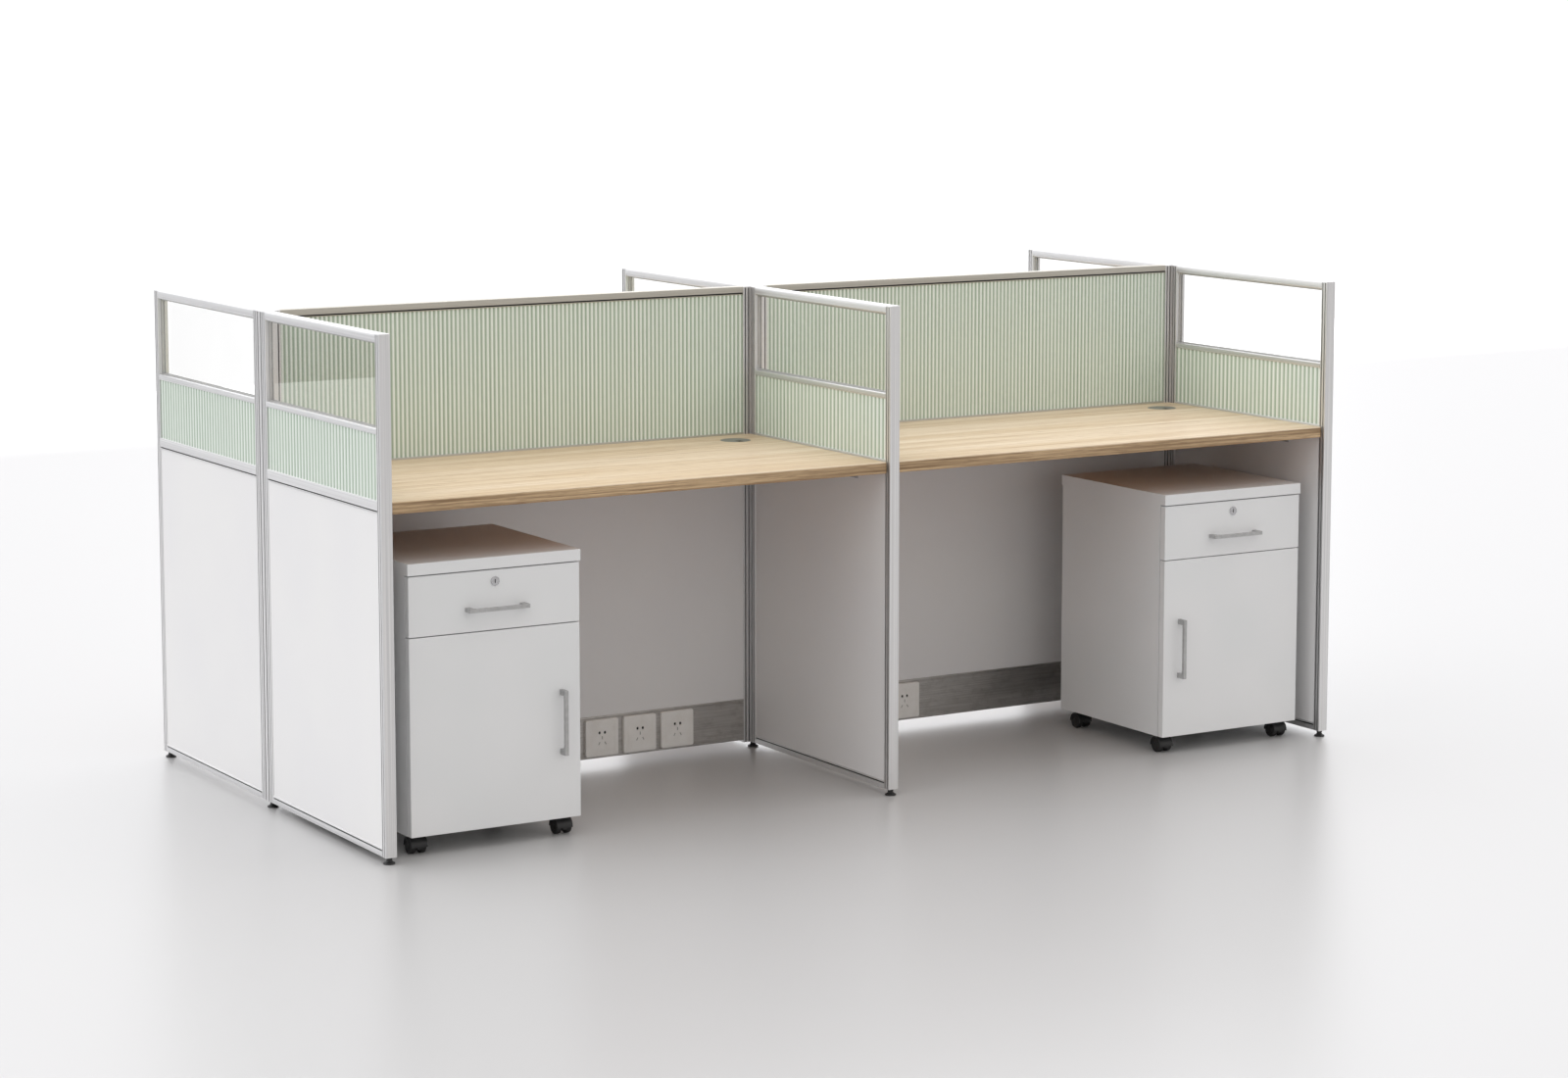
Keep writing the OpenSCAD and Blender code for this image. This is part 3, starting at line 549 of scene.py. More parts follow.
# %% Finished pieces and rounded copies
SAME_PLACE, FLAT, SHARP, EDGE_STEPS = 1e-6, math.radians(1), 30, 2


def finished_piece(node, mesh, finish, sharp):
    """An object that stands for a CAD node. Its mesh is smooth, but for the edges that are
    sharper than so many degrees."""
    mesh.materials.clear()
    mesh.materials.append(finish)
    mesh.shade_smooth()
    mesh.set_sharp_from_angle(angle=math.radians(sharp))
    piece = bpy.data.objects.new(node + "_finished", mesh)
    bpy.context.scene.collection.objects.link(piece)
    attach(piece, cad_nodes[node]["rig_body"])
    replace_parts(piece, node)
    return piece


def rounded_copy(node, width, finish):
    """Every corner sharper than 30 degrees becomes an arc of that width in mm."""
    mesh = cad_nodes[node].data.copy()
    work = bmesh.new()
    work.from_mesh(mesh)
    bmesh.ops.remove_doubles(work, verts=work.verts, dist=SAME_PLACE)
    bmesh.ops.dissolve_limit(work, angle_limit=FLAT, verts=work.verts, edges=work.edges)
    work.to_mesh(mesh)
    work.free()
    edge = finished_piece(node, mesh, finish, SHARP).modifiers.new("rounded_edges", "BEVEL")
    edge.width, edge.segments = width * MM, EDGE_STEPS
    edge.limit_method, edge.angle_limit = "ANGLE", math.radians(SHARP)
    edge.use_clamp_overlap, edge.harden_normals = True, True


print("edges are rounded in", EDGE_STEPS, "steps")

# %% [markdown]
# ## Surfaces from rings of points
#
# The finer pieces are worked out with numpy. Nearly every one is a row of rings: a profile
# carried along a straight bar, a ring turned about an axis, or a slice of a ribbed panel that
# grows and shrinks. One function joins each ring to the next with quads and fills both ends,
# one makes a Blender piece from such shells, and the shapes below only compute the rings.

# %% Ring helpers
def skin(rings):
    """Ring i, point j meets ring i, point j + 1 and the same two points of ring i + 1."""
    count, around = rings.shape[:2]
    index = np.arange(count * around).reshape(count, around)
    following = np.roll(index, -1, axis=1)
    quads = np.stack([index[:-1], following[:-1], following[1:], index[1:]], axis=-1)
    faces = quads.reshape(-1, 4).tolist() + [index[0][::-1].tolist(), index[-1].tolist()]
    return rings.reshape(-1, 3), faces


def joined(shells):
    """Shells as one list of points and faces: each shell's numbers go up by the points before."""
    points, faces, before = [], [], 0
    for shell_points, shell_faces in shells:
        points.append(shell_points)
        faces += [[number + before for number in face] for face in shell_faces]
        before += len(shell_points)
    return np.concatenate(points), faces


def made_piece(node, shells, finish, sharp=SHARP, **heights):
    """The piece of a CAD node, from closed shells in mm, with doubles merged and all faces
    turned outwards. Heights are attributes of its points."""
    points, faces = joined(shells)
    mesh = bpy.data.meshes.new(node + "_finished")
    mesh.from_pydata((points * MM).tolist(), [], faces)
    for label, values in heights.items():
        mesh.attributes.new(label, "FLOAT", "POINT").data.foreach_set("value", values)
    work = bmesh.new()
    work.from_mesh(mesh)
    bmesh.ops.remove_doubles(work, verts=work.verts, dist=SAME_PLACE)
    bmesh.ops.dissolve_degenerate(work, edges=work.edges, dist=SAME_PLACE / 10)
    bmesh.ops.recalc_face_normals(work, faces=work.faces)
    work.to_mesh(mesh)
    work.free()
    print(mesh.name, "has", len(mesh.polygons), "faces")
    return finished_piece(node, mesh, finish, sharp)


# %% [markdown]
# ## Extruded frame profiles
#
# A real profile is pushed through a die, so it is one outline along a straight line: soft
# corners and a few shallow grooves, where covers and gaskets snap in. That is how it is made
# here too. The outline is a rectangle with quarter-circle corners, and a groove is a short
# step inwards at a given distance along a side, with walls that lean a little as the die needs.
# An upright profile ends in a plastic cap with a soft rim, which is the same outline with
# grooves of no depth. Each groove is painted near black as painted shade, from 0.7 of the way
# down.

# %% Extruded bars
CORNER_STEPS, WALL_SLOPE, GROOVE_SHADE_STARTS = 4, 0.15, 0.7
CAP_RIM = ((0, 0.8), (0.25, 0.25), (0.8, 0))


def outline(width, height, radius, grooves=()):
    """Sides run anticlockwise from the bottom left corner. A groove is (side, middle, w, depth),
    and each of its walls leans by the slope times the depth."""
    corners = np.array([(0, 0), (width, 0), (width, height), (0, height)], float)
    turns = np.linspace(0, np.pi / 2, CORNER_STEPS)
    points = []
    for side, corner in enumerate(corners):
        ahead = np.array([np.cos(side * np.pi / 2), np.sin(side * np.pi / 2)])
        inward = np.array([-ahead[1], ahead[0]])
        centre = corner + radius * (ahead + inward)
        points.append(centre - radius * (np.outer(np.cos(turns), ahead)
                                         + np.outer(np.sin(turns), inward)))
        for _, middle, wide, depth in sorted(g for g in grooves if g[0] == side):
            wall = WALL_SLOPE * depth
            along = np.array([-wide / 2, -wide / 2 + wall, wide / 2 - wall, wide / 2])
            deep = np.array([0, depth, depth, 0])
            points.append(corner + np.outer(middle + along, ahead) + np.outer(deep, inward))
    return np.concatenate(points)


def bar(low, high, axis, radius, grooves=(), cap=0):
    """Carries an outline along a box, and up the rim of a cap by steps of (inset, drop)."""
    low, high = np.array(low, float), np.array(high, float)
    others = [(axis + 1) % 3, (axis + 2) % 3]
    size = (high - low)[others]
    slices = [(outline(*size, radius, grooves), low[axis]),
              (outline(*size, radius, grooves), high[axis] - cap)]
    if cap:
        plain = outline(*size, radius, [(side, place, w, 0) for side, place, w, _ in grooves])
        slices += [(size / 2 + (plain - size / 2) * (1 - 2 * inset / size), high[axis] - drop)
                   for inset, drop in ((0, cap), *CAP_RIM)]
    rings = np.empty((len(slices), len(slices[0][0]), 3))
    rings[:, :, others] = [low[others] + flat for flat, _ in slices]
    rings[:, :, axis] = np.array([place for _, place in slices])[:, None]
    return skin(rings)


def seal_in_grooves(bars, axis, groove_depth):
    """1 where a point lies deeper inside its own bar's sides than the painted shade starts, else
    0.
    """
    seals = []
    for points, _ in bars:
        sides = np.delete(points, axis, axis=1)
        inset = np.minimum(sides - sides.min(axis=0), sides.max(axis=0) - sides).min(axis=1)
        seals.append(inset > GROOVE_SHADE_STARTS * groove_depth)
    return np.concatenate(seals).astype(float)


print("outline of a 25 by 20 bar has", len(outline(25, 20, 0.6)), "points")

# %% [markdown]
# ## The screen frames
#
# Three lines of wing screens stand across the spine. Each wing has a stile at both ends, a top
# rail with a soft round top and a shadow groove, a slim rail under the clear pane, a wide rail
# at desk height and a bottom rail. The spine has the same, without a clear pane, and its top
# rail is 6 mm deeper here than the plain solid. The stiles show two grooves along each broad
# face, next to the panes, and a post where the wings meet the spine has two wider ones on all
# four. Every upright ends in a cap, and all the copies of one profile are one piece.

# %% Bars of the wings and the spine
X, Y, Z = 0, 1, 2
WING_LINES, HALF_THICK = (-1230, 0, 1230), 12.5
GROOVE_W, GROOVE_DEEP = 2.8, 2.6


def mirrored_span(start, end, side):
    """The span from start to end on the plus side, or its mirror image on the minus side."""
    return (start, end) if side > 0 else (-end, -start)


def wing_bars(start, end, low, high, *profile):
    """The same bar in all six wings, 25 mm thick about each line, from start to end along Y."""
    spans = [(line, mirrored_span(start, end, side)) for line in WING_LINES for side in (-1, 1)]
    return [bar((line - HALF_THICK, y[0], low), (line + HALF_THICK, y[1], high), *profile)
            for line, y in spans]


def spine_bars(start, end, low, high, *profile):
    """The same bar in both bays of the spine, 25 mm thick, from start to end along X."""
    spans = [mirrored_span(start, end, side) for side in (-1, 1)]
    return [bar((x[0], -HALF_THICK, low), (x[1], HALF_THICK, high), *profile) for x in spans]


def both_faces(side, length, place, width=GROOVE_W, depth=GROOVE_DEEP):
    """The same groove on a side of an outline and, mirrored, on the side across from it."""
    return [(side, place, width, depth), (side + 2, length - place, width, depth)]


def frame_piece(node, bars, axis):
    """Makes the finished piece of a frame node along an axis, with painted shade in its grooves.
    """
    made_piece(node, bars, FRAME_FINISH[axis], seal=seal_in_grooves(bars, axis, GROOVE_DEEP))


print("one profile in all wings is", len(wing_bars(0, 1, 0, 1, Z, 0.1)), "bars")

# %% Stiles and posts
# The outline of an upright bar goes along X first and then Y, so its sides 1 and 3 face X.
STILE, WING_END, SPINE_START, SPINE_END = 20, 617.5, 12.5, 1217.5
FOOT, TOP, CAP, EDGE_R = 15, 1100, 3, 0.8
GROOVE_NEAR, GROOVE_FAR, SPINE_GROOVE = 6.5, 4.5, 5.5
POST_GROOVE_W, POST_GROOVE_DEEP, POST_GROOVES, POST_R = 4.4, 2.2, (5, 20), 2.5

near, far = (SPINE_START, SPINE_START + STILE), (WING_END - STILE, WING_END)
grooves = both_faces(1, STILE, GROOVE_NEAR) + both_faces(1, STILE, STILE - GROOVE_FAR)
upright = (FOOT, TOP, Z, EDGE_R, grooves, CAP)
frame_piece("wing_stiles", wing_bars(*near, *upright) + wing_bars(*far, *upright), Z)
far = (SPINE_END - STILE, SPINE_END)
grooves = both_faces(0, STILE, SPINE_GROOVE) + both_faces(0, STILE, STILE - SPINE_GROOVE)
upright = (FOOT, TOP, Z, EDGE_R, grooves, CAP)
frame_piece("spine_stiles", spine_bars(*near, *upright) + spine_bars(*far, *upright), Z)
grooves = [groove for side in (0, 1) for place in POST_GROOVES for groove in
           both_faces(side, 2 * HALF_THICK, place, POST_GROOVE_W, POST_GROOVE_DEEP)]
frame_piece("connector_posts",
            [bar((line - HALF_THICK, -HALF_THICK, FOOT), (line + HALF_THICK, HALF_THICK, TOP), Z,
                 POST_R, grooves, CAP) for line in WING_LINES], Z)

# %% Rails
WING_RAIL = (SPINE_START + STILE, WING_END - STILE)
SPINE_RAIL = (SPINE_START + STILE, SPINE_END - STILE)
GLASS_TOP, GLASS_LOW, RIB_TOP, RIB_LOW, DESK_RAIL_LOW = 1081, 905, 893, 757, 730
BOTTOM_RAIL_TOP, SPINE_RIB_TOP = 33, 1081
ROUND_TOP, SPINE_TOP_R, RAIL_R = 3.6, 1.4, 1.2
RAIL_GROOVE, BOTTOM_GROOVE, SHADOW_DEEP, SHADE_W = 5, 13, 1, 3.4

# A rail along Y has an outline along Z and then X, and one along X has the two swapped.
top_h, desk_h, bottom_h = TOP - GLASS_TOP, RIB_LOW - DESK_RAIL_LOW, BOTTOM_RAIL_TOP - FOOT
frame_piece("wing_top_rails",
            wing_bars(*WING_RAIL, GLASS_TOP, TOP, Y, ROUND_TOP,
                      both_faces(0, top_h, RAIL_GROOVE, depth=SHADOW_DEEP)), Y)
frame_piece("wing_mid_rails",
            wing_bars(*WING_RAIL, RIB_TOP, GLASS_LOW, Y, RAIL_R)
            + wing_bars(*WING_RAIL, DESK_RAIL_LOW, RIB_LOW, Y, RAIL_R,
                        both_faces(0, desk_h, RAIL_GROOVE)), Y)
frame_piece("wing_bottom_rails",
            wing_bars(*WING_RAIL, FOOT, BOTTOM_RAIL_TOP, Y, EDGE_R,
                      both_faces(0, bottom_h, BOTTOM_GROOVE)), Y)
# The spine's top rail has a broad groove low on both faces, painted dark as the shadow of its top.
grooves = both_faces(1, TOP - SPINE_RIB_TOP, SHADE_W, SHADE_W)
frame_piece("spine_rails",
            spine_bars(*SPINE_RAIL, SPINE_RIB_TOP, TOP, X, SPINE_TOP_R, grooves)
            + spine_bars(*SPINE_RAIL, DESK_RAIL_LOW, RIB_LOW, X, RAIL_R), X)

# %% [markdown]
# ## Ribbed panels
#
# Each panel is a row of upright ribs on both faces. Cut across, one face is a wave: the
# outer plane less the rib depth times (1 + cos) / 2, one turn to a rib. So the panel is a row
# of upright rectangles whose thickness follows the wave. Twelve slices a rib are enough to
# look round, and the crest height is kept for the finish.

# %% Ribbed panel shapes
RIB_THICK, RIB_DEPTH, SLICES, FIRST_PHASE = 21, 2, 12, np.pi / 4


def ribbed_panel(start, end, low_z, high_z, ribs, axis, middle):
    """Slice k is a rectangle of thickness 21 - 2 * 2 * (1 + cos(45 deg + 2 pi k / 12)) / 2."""
    step = np.arange(ribs * SLICES + 1)
    wave = (1 + np.cos(FIRST_PHASE + 2 * np.pi * step / SLICES)) / 2
    half = RIB_THICK / 2 - RIB_DEPTH * wave
    rings = np.empty((len(step), 4, 3))
    rings[:, :, axis] = (start + (end - start) * step / step[-1])[:, None]
    rings[:, :, 1 - axis] = middle + half[:, None] * np.array([-1, 1, 1, -1])
    rings[:, :, Z] = np.array([low_z, low_z, high_z, high_z])
    return skin(rings), np.repeat(1 - wave, 4)


WING_RIBS, SPINE_RIBS = 36, 110
wing_panels, spine_panels = [], []
for side in (-1, 1):
    for line in WING_LINES:
        wing_panels.append(ribbed_panel(*mirrored_span(*WING_RAIL, side), RIB_LOW, RIB_TOP,
                                        WING_RIBS, Y, line))
    spine_panels.append(ribbed_panel(*mirrored_span(*SPINE_RAIL, side), RIB_LOW, SPINE_RIB_TOP,
                                     SPINE_RIBS, X, 0))
for node, panels in (("ribbed_wing_panes", wing_panels), ("spine_ribbed_panels", spine_panels)):
    made_piece(node, [shell for shell, _ in panels], ribbed_green, sharp=50,
               rib_height=np.concatenate([crests for _, crests in panels]))

# %% [markdown]
# ## Turned parts: levelling feet and castor wheels
#
# A foot and a wheel are both turned shapes: a profile of radius against height, spun about an
# axis, which starts and ends a hair's breadth from that axis. The foot has a nylon pad, a
# hollow-waisted cone, a lock nut and a threaded stem. A castor has two wheels on one axle, each
# with a round-shouldered tread and a dished hub.

# %% Turned parts
HAIR = 0.01


def turned(profile, centre, axis, sides=40):
    """Point (radius, height) goes to centre + radius * (cos, sin) across and height along."""
    profile, turn = np.asarray(profile, float), np.arange(sides) * 2 * np.pi / sides
    rings = np.empty((len(profile), sides, 3))
    rings[:, :, (axis + 1) % 3] = np.outer(profile[:, 0], np.cos(turn))
    rings[:, :, (axis + 2) % 3] = np.outer(profile[:, 0], np.sin(turn))
    rings[:, :, axis] = profile[:, 1][:, None]
    return skin(rings + np.asarray(centre, float))


def thread(radius, low, high, pitch, depth):
    """A stem whose radius dips by the depth once every pitch, as zigzag rings."""
    steps = np.arange(int((high - low) / pitch * 2) + 1)
    return np.stack([radius - depth * (steps % 2), low + steps * pitch / 2], axis=1)


foot_profile = np.concatenate([
    [(HAIR, 0), (11.9, 0), (12.5, 0.6), (12.5, 2.6), (12, 3.2), (9.5, 4.2), (7.2, 6), (6, 8.4),
     (5.4, 10), (6.4, 10.2), (6.6, 10.8), (6.6, 13.6), (6.2, 14.2), (4.2, 14.4)],
    thread(4, 14.6, 39.6, 1.25, 0.3), [(HAIR, 40)]])
FEET_Y = (0, -605, 605)
made_piece("levelling_feet",
           [turned(foot_profile, (x, y, 0), Z) for x in WING_LINES for y in FEET_Y],
           nylon_black, sharp=40)

# %% Castor wheels
WHEEL_R, AXLE_R, INNER, OUTER, SHOULDER, WHEEL_SIDES = 17, 3, 5.5, 18.5, 2.5, 48
shoulder = np.linspace(0, np.pi / 2, 5)
wheel_half = np.concatenate([
    [(AXLE_R, 0), (AXLE_R, INNER), (WHEEL_R - SHOULDER, INNER)],
    np.stack([WHEEL_R - SHOULDER + SHOULDER * np.sin(shoulder),
              INNER + SHOULDER - SHOULDER * np.cos(shoulder)], axis=1),
    np.stack([WHEEL_R - SHOULDER + SHOULDER * np.cos(shoulder),
              OUTER - SHOULDER + SHOULDER * np.sin(shoulder)], axis=1),
    [(13, OUTER), (12.2, OUTER - 1.6), (6.5, OUTER - 1.6), (5.6, OUTER - 0.4),
     (3.2, OUTER), (HAIR, OUTER)]])
wheel_profile = np.concatenate([wheel_half[::-1] * (1, -1), wheel_half[1:]])
for node in sorted(cad_nodes):
    if "_wheels_" in node:
        low, high = box_mm(node)
        wheels = turned(wheel_profile, (low + high) / 2, X, WHEEL_SIDES)
        made_piece(node, [wheels], tread_black, sharp=40)

# %% [markdown]
# ## Bow handles
#
# A die-cast handle is a slim bar on two feet. Its ends are blocks, a little higher than the
# bar, and all its edges are soft. It is laid out as a row of four-cornered rings that walk up
# one foot, along the bar and down the other foot, and a Bevel modifier then rounds every edge.

# %% Bow handles
HANDLE_L, HANDLE_OUT, BAR_T, BLOCK_H, FOOT_W = 140, 25, 8, 8.5, 12
BLOCK_L, SLOPE_L, SLIM_DROP, SLIM_BACK = 17, 3, 0.6, 0.3
SOFT_R, SOFT_STEPS, SOFT_ANGLE = 0.7, 3, 8


def bow_handle(centre, upright):
    """Rings hold an outer and an inner edge at two heights; the second half mirrors the first."""
    half, low, high = HANDLE_L / 2, -BLOCK_H / 2, BLOCK_H / 2
    slim = high - SLIM_DROP
    inner_out = HANDLE_OUT - BAR_T
    stations = np.array([
        (-half, 0, -half + FOOT_W, 0, high),
        (-half, HANDLE_OUT, -half + FOOT_W, inner_out, high),
        (-half + BLOCK_L, HANDLE_OUT, -half + BLOCK_L, inner_out, high),
        (-half + BLOCK_L + SLOPE_L, HANDLE_OUT - SLIM_BACK,
         -half + BLOCK_L + SLOPE_L, inner_out, slim)])
    flipped = stations[::-1] * (-1, 1, -1, 1, 1)
    u_out, v_out, u_in, v_in, top = np.concatenate([stations, flipped]).T
    bottom = np.full_like(top, low)
    along = np.stack([u_out, u_out, u_in, u_in], axis=1)
    out = -np.stack([v_out, v_out, v_in, v_in], axis=1)
    height = np.stack([bottom, top, top, bottom], axis=1)
    parts = (-height, out, along) if upright else (along, out, height)
    return skin(np.stack(parts, axis=2) + centre)


for side in ("left", "right"):
    for kind, upright in (("drawer", False), ("door", True)):
        node = f"{side}_{kind}_handle"
        low, high = box_mm(node)
        middle = (low + high) / 2
        middle[Y] = high[Y]
        piece = made_piece(node, [bow_handle(middle, upright)], satin_nickel, SOFT_ANGLE)
        soft = piece.modifiers.new("soft_edges", "BEVEL")
        soft.width, soft.segments, soft.limit_method = SOFT_R * MM, SOFT_STEPS, "ANGLE"
        soft.angle_limit, soft.harden_normals = math.radians(SOFT_ANGLE), True

# %% [markdown]
# ## Cable trunking
#
# The trunking at the foot of the spine is a bottom lip, a top lip and two clip-on covers. The
# parts meet in fine shadow lines, so each is its own bar, and a cover has a step near its
# upper and its lower edge, where it clips on.

# %% Trunking covers and lips
TRUNK_LOW, COVER_LOW, COVER_TOP, TRUNK_TOP, COVER_THICK = 21, 26, 114, 120, 2
CLIP_AT, CLIP_W, CLIP_DEEP, LIP_R, COVER_R = 2.2, 2, 1.2, 1, 0.5

trunk_bars = (spine_bars(*SPINE_RAIL, TRUNK_LOW, COVER_LOW, X, LIP_R)
              + spine_bars(*SPINE_RAIL, COVER_TOP, TRUNK_TOP, X, LIP_R))
cover_h = COVER_TOP - COVER_LOW
for side in (-1, 1):
    x0, x1 = mirrored_span(*SPINE_RAIL, side)
    for face, low_y in ((3, -HALF_THICK), (1, HALF_THICK - COVER_THICK)):
        steps = [(face, place, CLIP_W, CLIP_DEEP) for place in (CLIP_AT, cover_h - CLIP_AT)]
        trunk_bars.append(bar((x0, low_y, COVER_LOW), (x1, low_y + COVER_THICK, COVER_TOP), X,
                              COVER_R, steps))
made_piece("trunking", trunk_bars, brushed, seal=seal_in_grooves(trunk_bars, X, CLIP_DEEP))

# %% [markdown]
# ## Socket outlets
#
# Each outlet is a square plate with soft edges, a fine joint round its module, two round-ended
# pin holes above and three shuttered slots below. A plate is a stack of rings that step
# outwards and turn in over the edge. A flat face with holes is cut into triangles between its
# outer loop and the loops of its holes, and each hole goes in as rings of its own.

# %% Flat faces with holes
from mathutils.geometry import tessellate_polygon


def loop(width, height, radius, centre=(0, 0), turn=0):
    """A rounded rectangle about a centre, turned by an angle in degrees."""
    flat = outline(width, height, radius) - (width / 2, height / 2)
    cosine, sine = np.cos(np.radians(turn)), np.sin(np.radians(turn))
    return flat @ np.array([[cosine, sine], [-sine, cosine]]) + centre


def at_depth(flat, depth):
    """Puts a flat loop at a distance in front of the wall."""
    return np.column_stack([flat, np.full(len(flat), float(depth))])


def pierced(outer, holes, depth):
    """The flat face between an outer loop and its holes, as triangles."""
    loops = [at_depth(flat, depth) for flat in [outer, *holes]]
    triangles = tessellate_polygon([[tuple(point) for point in one] for one in loops])
    return np.concatenate(loops), [list(triangle) for triangle in triangles]


def walls(*rings):
    """The band between rings of equal length, open at both ends."""
    points, faces = skin(np.stack(rings))
    return points, faces[:-2]


def pit(flat, top, bottom):
    """A hole's wall and its floor, which is the last face."""
    points, faces = skin(np.stack([at_depth(flat, top), at_depth(flat, bottom)]))
    return points, faces[:-2] + faces[-1:]


print("a rounded loop has", len(loop(2, 2, 0.5)), "points")

# %% Socket plate
PLATE, PLATE_R, PLATE_OUT, JOINT, JOINT_W, JOINT_DEEP = 86, 4.5, 8, 66, 1.2, 0.6
EDGE_STATIONS, FACE_INSET, JOINT_R, SLOT_R = ((0, 0), (0, 6), (0.5, 7.3), (1.4, 7.85)), 2.6, 2, 0.4
BOX_W, BOX_DEEP, BOX_R = 60, 8, 2
PIN_HOLES = [(-7, 12, 5.6, 7, 0), (7, 12, 5.6, 7, 0)]
SLOTS = [(0, 0, 2.6, 7.5, 0), (-8, -13, 2.6, 7.5, -30), (8, -13, 2.6, 7.5, 30)]
HOLE_DEEP, SHUTTER_DEEP, SHUTTER_SHADE = 3, 1, 0.5

front = PLATE_OUT
edge_rings = [at_depth(loop(PLATE - 2 * inset, PLATE - 2 * inset, PLATE_R - inset), depth)
              for inset, depth in (*EDGE_STATIONS, (FACE_INSET, front))]
face_loop = loop(PLATE - 2 * FACE_INSET, PLATE - 2 * FACE_INSET, PLATE_R - FACE_INSET)
joint_out, joint_in = (loop(w, w, JOINT_R) for w in (JOINT, JOINT - 2 * JOINT_W))
joint_low = front - JOINT_DEEP
holes = [loop(w, h, w / 2.2, (u, v), turn) for u, v, w, h, turn in PIN_HOLES]
slots = [loop(w, h, SLOT_R, (u, v), turn) for u, v, w, h, turn in SLOTS]
pierced_shells = [
    walls(*edge_rings), pierced(face_loop, [joint_out], front),
    walls(at_depth(joint_out, front), at_depth(joint_out, joint_low)),
    pierced(joint_out, [joint_in], joint_low),
    walls(at_depth(joint_in, joint_low), at_depth(joint_in, front)),
    pierced(joint_in, holes + slots, front),
    (at_depth(loop(PLATE, PLATE, PLATE_R), 0), [list(range(4 * CORNER_STEPS))]),
    bar((-BOX_W / 2, -BOX_W / 2, -BOX_DEEP), (BOX_W / 2, BOX_W / 2, HAIR), Z, BOX_R)]
slot_shells = [pit(flat, front, front - SHUTTER_DEEP) for flat in slots]
hole_shells = [pit(flat, front, front - HOLE_DEEP) for flat in holes]
plate_points, plate_faces = joined(pierced_shells + slot_shells + hole_shells)
# Painted shade: the pin holes are painted near black, the shutter floors half way, and the front
# face stays white.
dark = np.concatenate([np.full(sum(len(points) for points, _ in shells), shade) for shells, shade
                       in ((pierced_shells, 0), (slot_shells, SHUTTER_SHADE), (hole_shells, 1))])
dark[plate_points[:, 2] == front] = 0
print("a socket plate has", len(plate_points), "points")

# %% Socket outlets
SOCKET_X, SOCKET_Z = (217, 317, 417, -217, -317, -417), 70

u, v, out = plate_points.T
outlets = [(np.column_stack([x - face * u, face * (HALF_THICK + out), SOCKET_Z + v]), plate_faces)
           for face in (-1, 1) for x in SOCKET_X]
made_piece("socket_outlets", outlets, socket_white, sharp=35,
           deep_hole=np.tile(dark, len(outlets)))

# %% [markdown]
# ## Concealed hinges
#
# A concealed hinge is a pressed cup let into the door and an arm screwed to the cabinet side.
# The cup is a turned dish with a rim and a screwed flange, and the arm is a rounded channel
# with two domed screws. Both stay inside the space that the CAD model gives them.

# %% Hinges
SCREW = [(HAIR, 0), (3.4, 0), (3.4, 0.5), (2.6, 1.1), (1.2, 1.4), (HAIR, 1.5)]
SCREW_SIDES, SCREWS_AT = 20, (22, 48)
ARM_HALF, ARM_T, ARM_DEEP = 7, 1.6, 6
CUP_R, RIM, CUP_DEEP, CUP_FLOOR, FLANGE_T, FLANGE_R = 17.5, 1.5, 11, 2, 1, 4
FLANGE_HALF, FLANGE_IN = 25, 16


def screw(x, y, z, way):
    """A domed screw head that stands on an upright face and points along plus or minus X."""
    return turned(np.array(SCREW) * (1, way), (x, y, z), X, SCREW_SIDES)


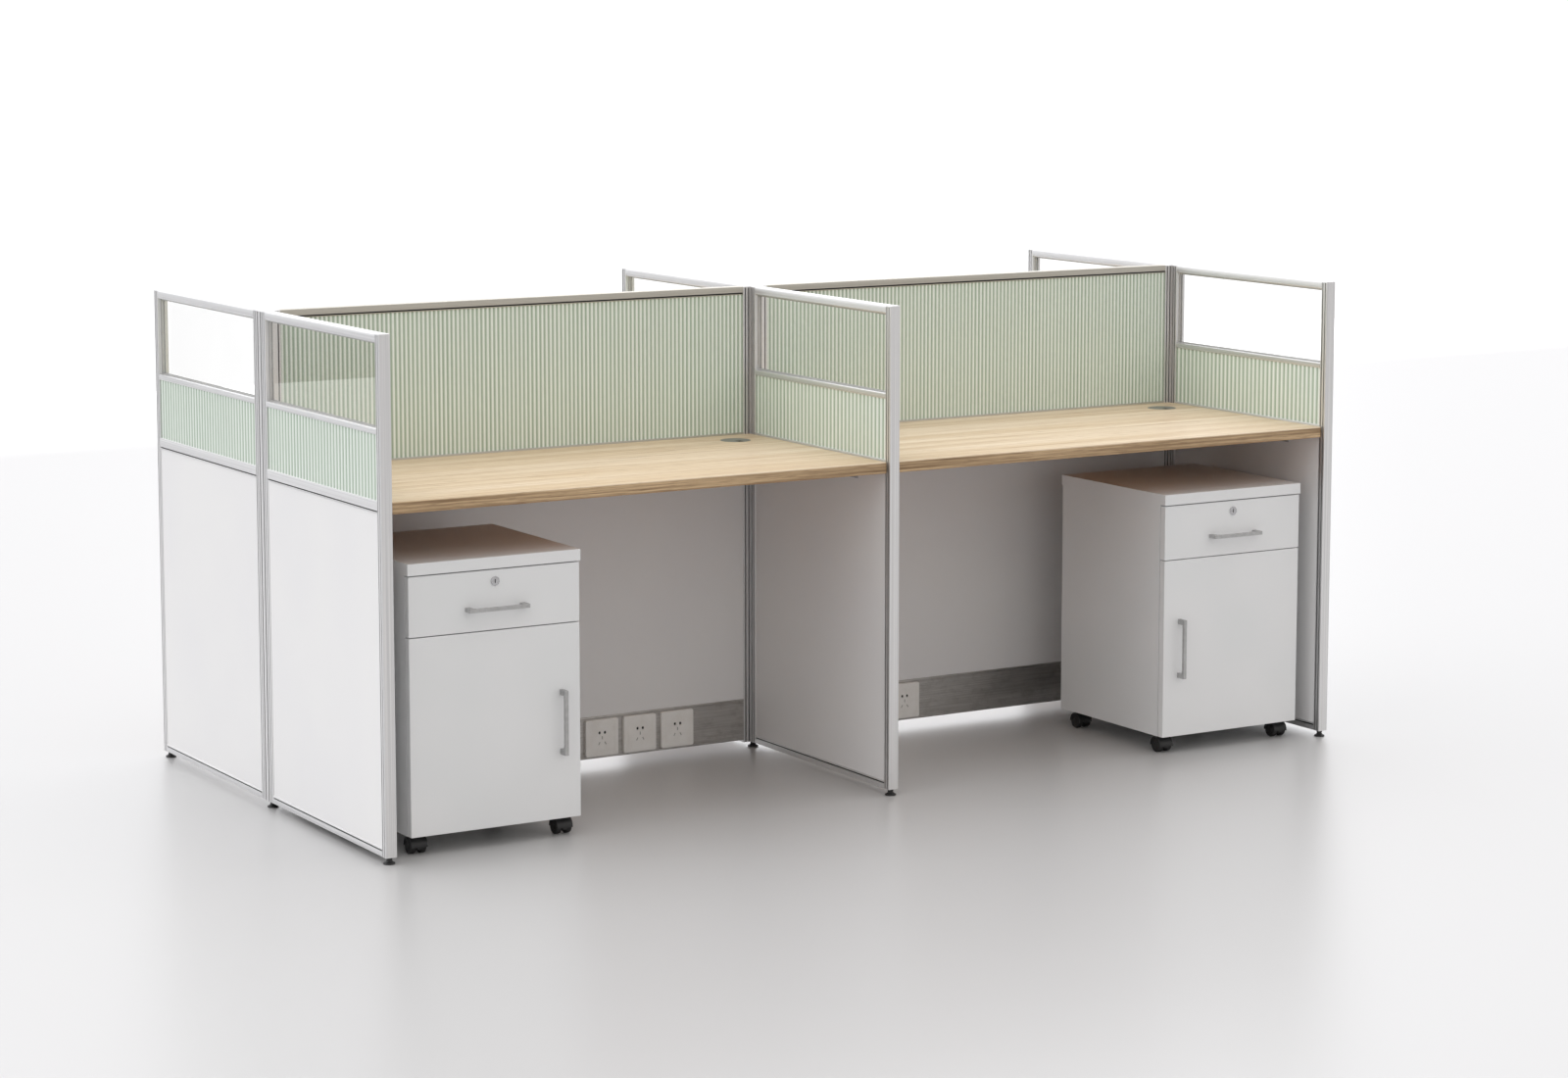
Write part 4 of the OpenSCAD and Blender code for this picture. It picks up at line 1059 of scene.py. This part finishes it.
for side, way in (("left", 1), ("right", -1)):
    arm_low, arm_high = box_mm(f"{side}_hinge_arms")
    cup_low, cup_high = box_mm(f"{side}_hinge_cups")
    arm_face = arm_high[X] if way > 0 else arm_low[X]
    arms, cups = [], []
    for z in (arm_low[Z] + ARM_HALF, arm_high[Z] - ARM_HALF):
        x0, x1 = sorted((arm_face - way * ARM_T, arm_face - way * ARM_DEEP))
        arms.append(bar((x0, arm_low[Y], z - ARM_HALF), (x1, arm_high[Y], z + ARM_HALF), Y, ARM_T))
        arms += [screw(arm_face - way * ARM_T, arm_low[Y] + y, z, way) for y in SCREWS_AT]
    middle = (cup_low[X] + cup_high[X]) / 2
    back = cup_high[Y]
    dish = [(HAIR, 0), (CUP_R, 0), (CUP_R, CUP_DEEP), (CUP_R - RIM, CUP_DEEP),
            (CUP_R - RIM - 1, CUP_FLOOR), (HAIR, CUP_FLOOR)]
    for z in (cup_low[Z] + FLANGE_HALF, cup_high[Z] - FLANGE_HALF):
        cups.append(turned(dish, (middle, back - FLANGE_T - CUP_DEEP, z), Y, WHEEL_SIDES))
        for low_z, high_z in ((z - FLANGE_HALF, z - FLANGE_IN), (z + FLANGE_IN, z + FLANGE_HALF)):
            cups.append(bar((cup_low[X] + FLANGE_R, back - FLANGE_T, low_z),
                            (cup_high[X] - FLANGE_R, back, high_z), Y, FLANGE_R))
    made_piece(f"{side}_hinge_arms", arms, zinc_steel)
    made_piece(f"{side}_hinge_cups", cups, zinc_steel)

# %% [markdown]
# ## Boards, panes and small parts
#
# The CAD pieces that are left have the right shape. The record's material slots say what each
# is made of, so one table gives the finish and the width of the rounded edges. The rear tops
# show another part of the oak print, and the drawer units' fronts have softer edges. The clear
# panes keep their CAD mesh, because the gaskets hide their edges.

# %% Dress every node that is left
slot_look = {
    "clear_glass": (clear_glass, 0), "gasket_rubber": (gasket_grey, 0.4),
    "white_board": (board_white, 0.3), "grommet_plastic": (grommet_grey, 0.5),
    "black_plastic": (nylon_black, 0.5), "zinc_steel": (zinc_steel, 0.3),
    "oak_board": (oak_front, 1), "unit_white": (unit_white, 0.4),
    "drawer_board": (drawer_pale, 0.4), "lock_chrome": (lock_chrome, 0.3)}
own_look = {}
for side in ("left", "right"):
    own_look[f"desk_rear_{side}"] = (oak_rear, 1)
    own_look[f"{side}_drawer_front"] = own_look[f"{side}_door"] = (unit_white, 1.6)

already_made = {node for piece in bpy.data.objects for node in piece.get("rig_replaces", [])}
for node in sorted(set(cad_nodes) - already_made):
    finish, edge_width = own_look.get(node, slot_look[cad_slots[node]])
    if edge_width:
        rounded_copy(node, edge_width, finish)
    else:
        cad_nodes[node].data.materials.clear()
        cad_nodes[node].data.materials.append(finish)
print("dressed nodes:", len(cad_nodes))
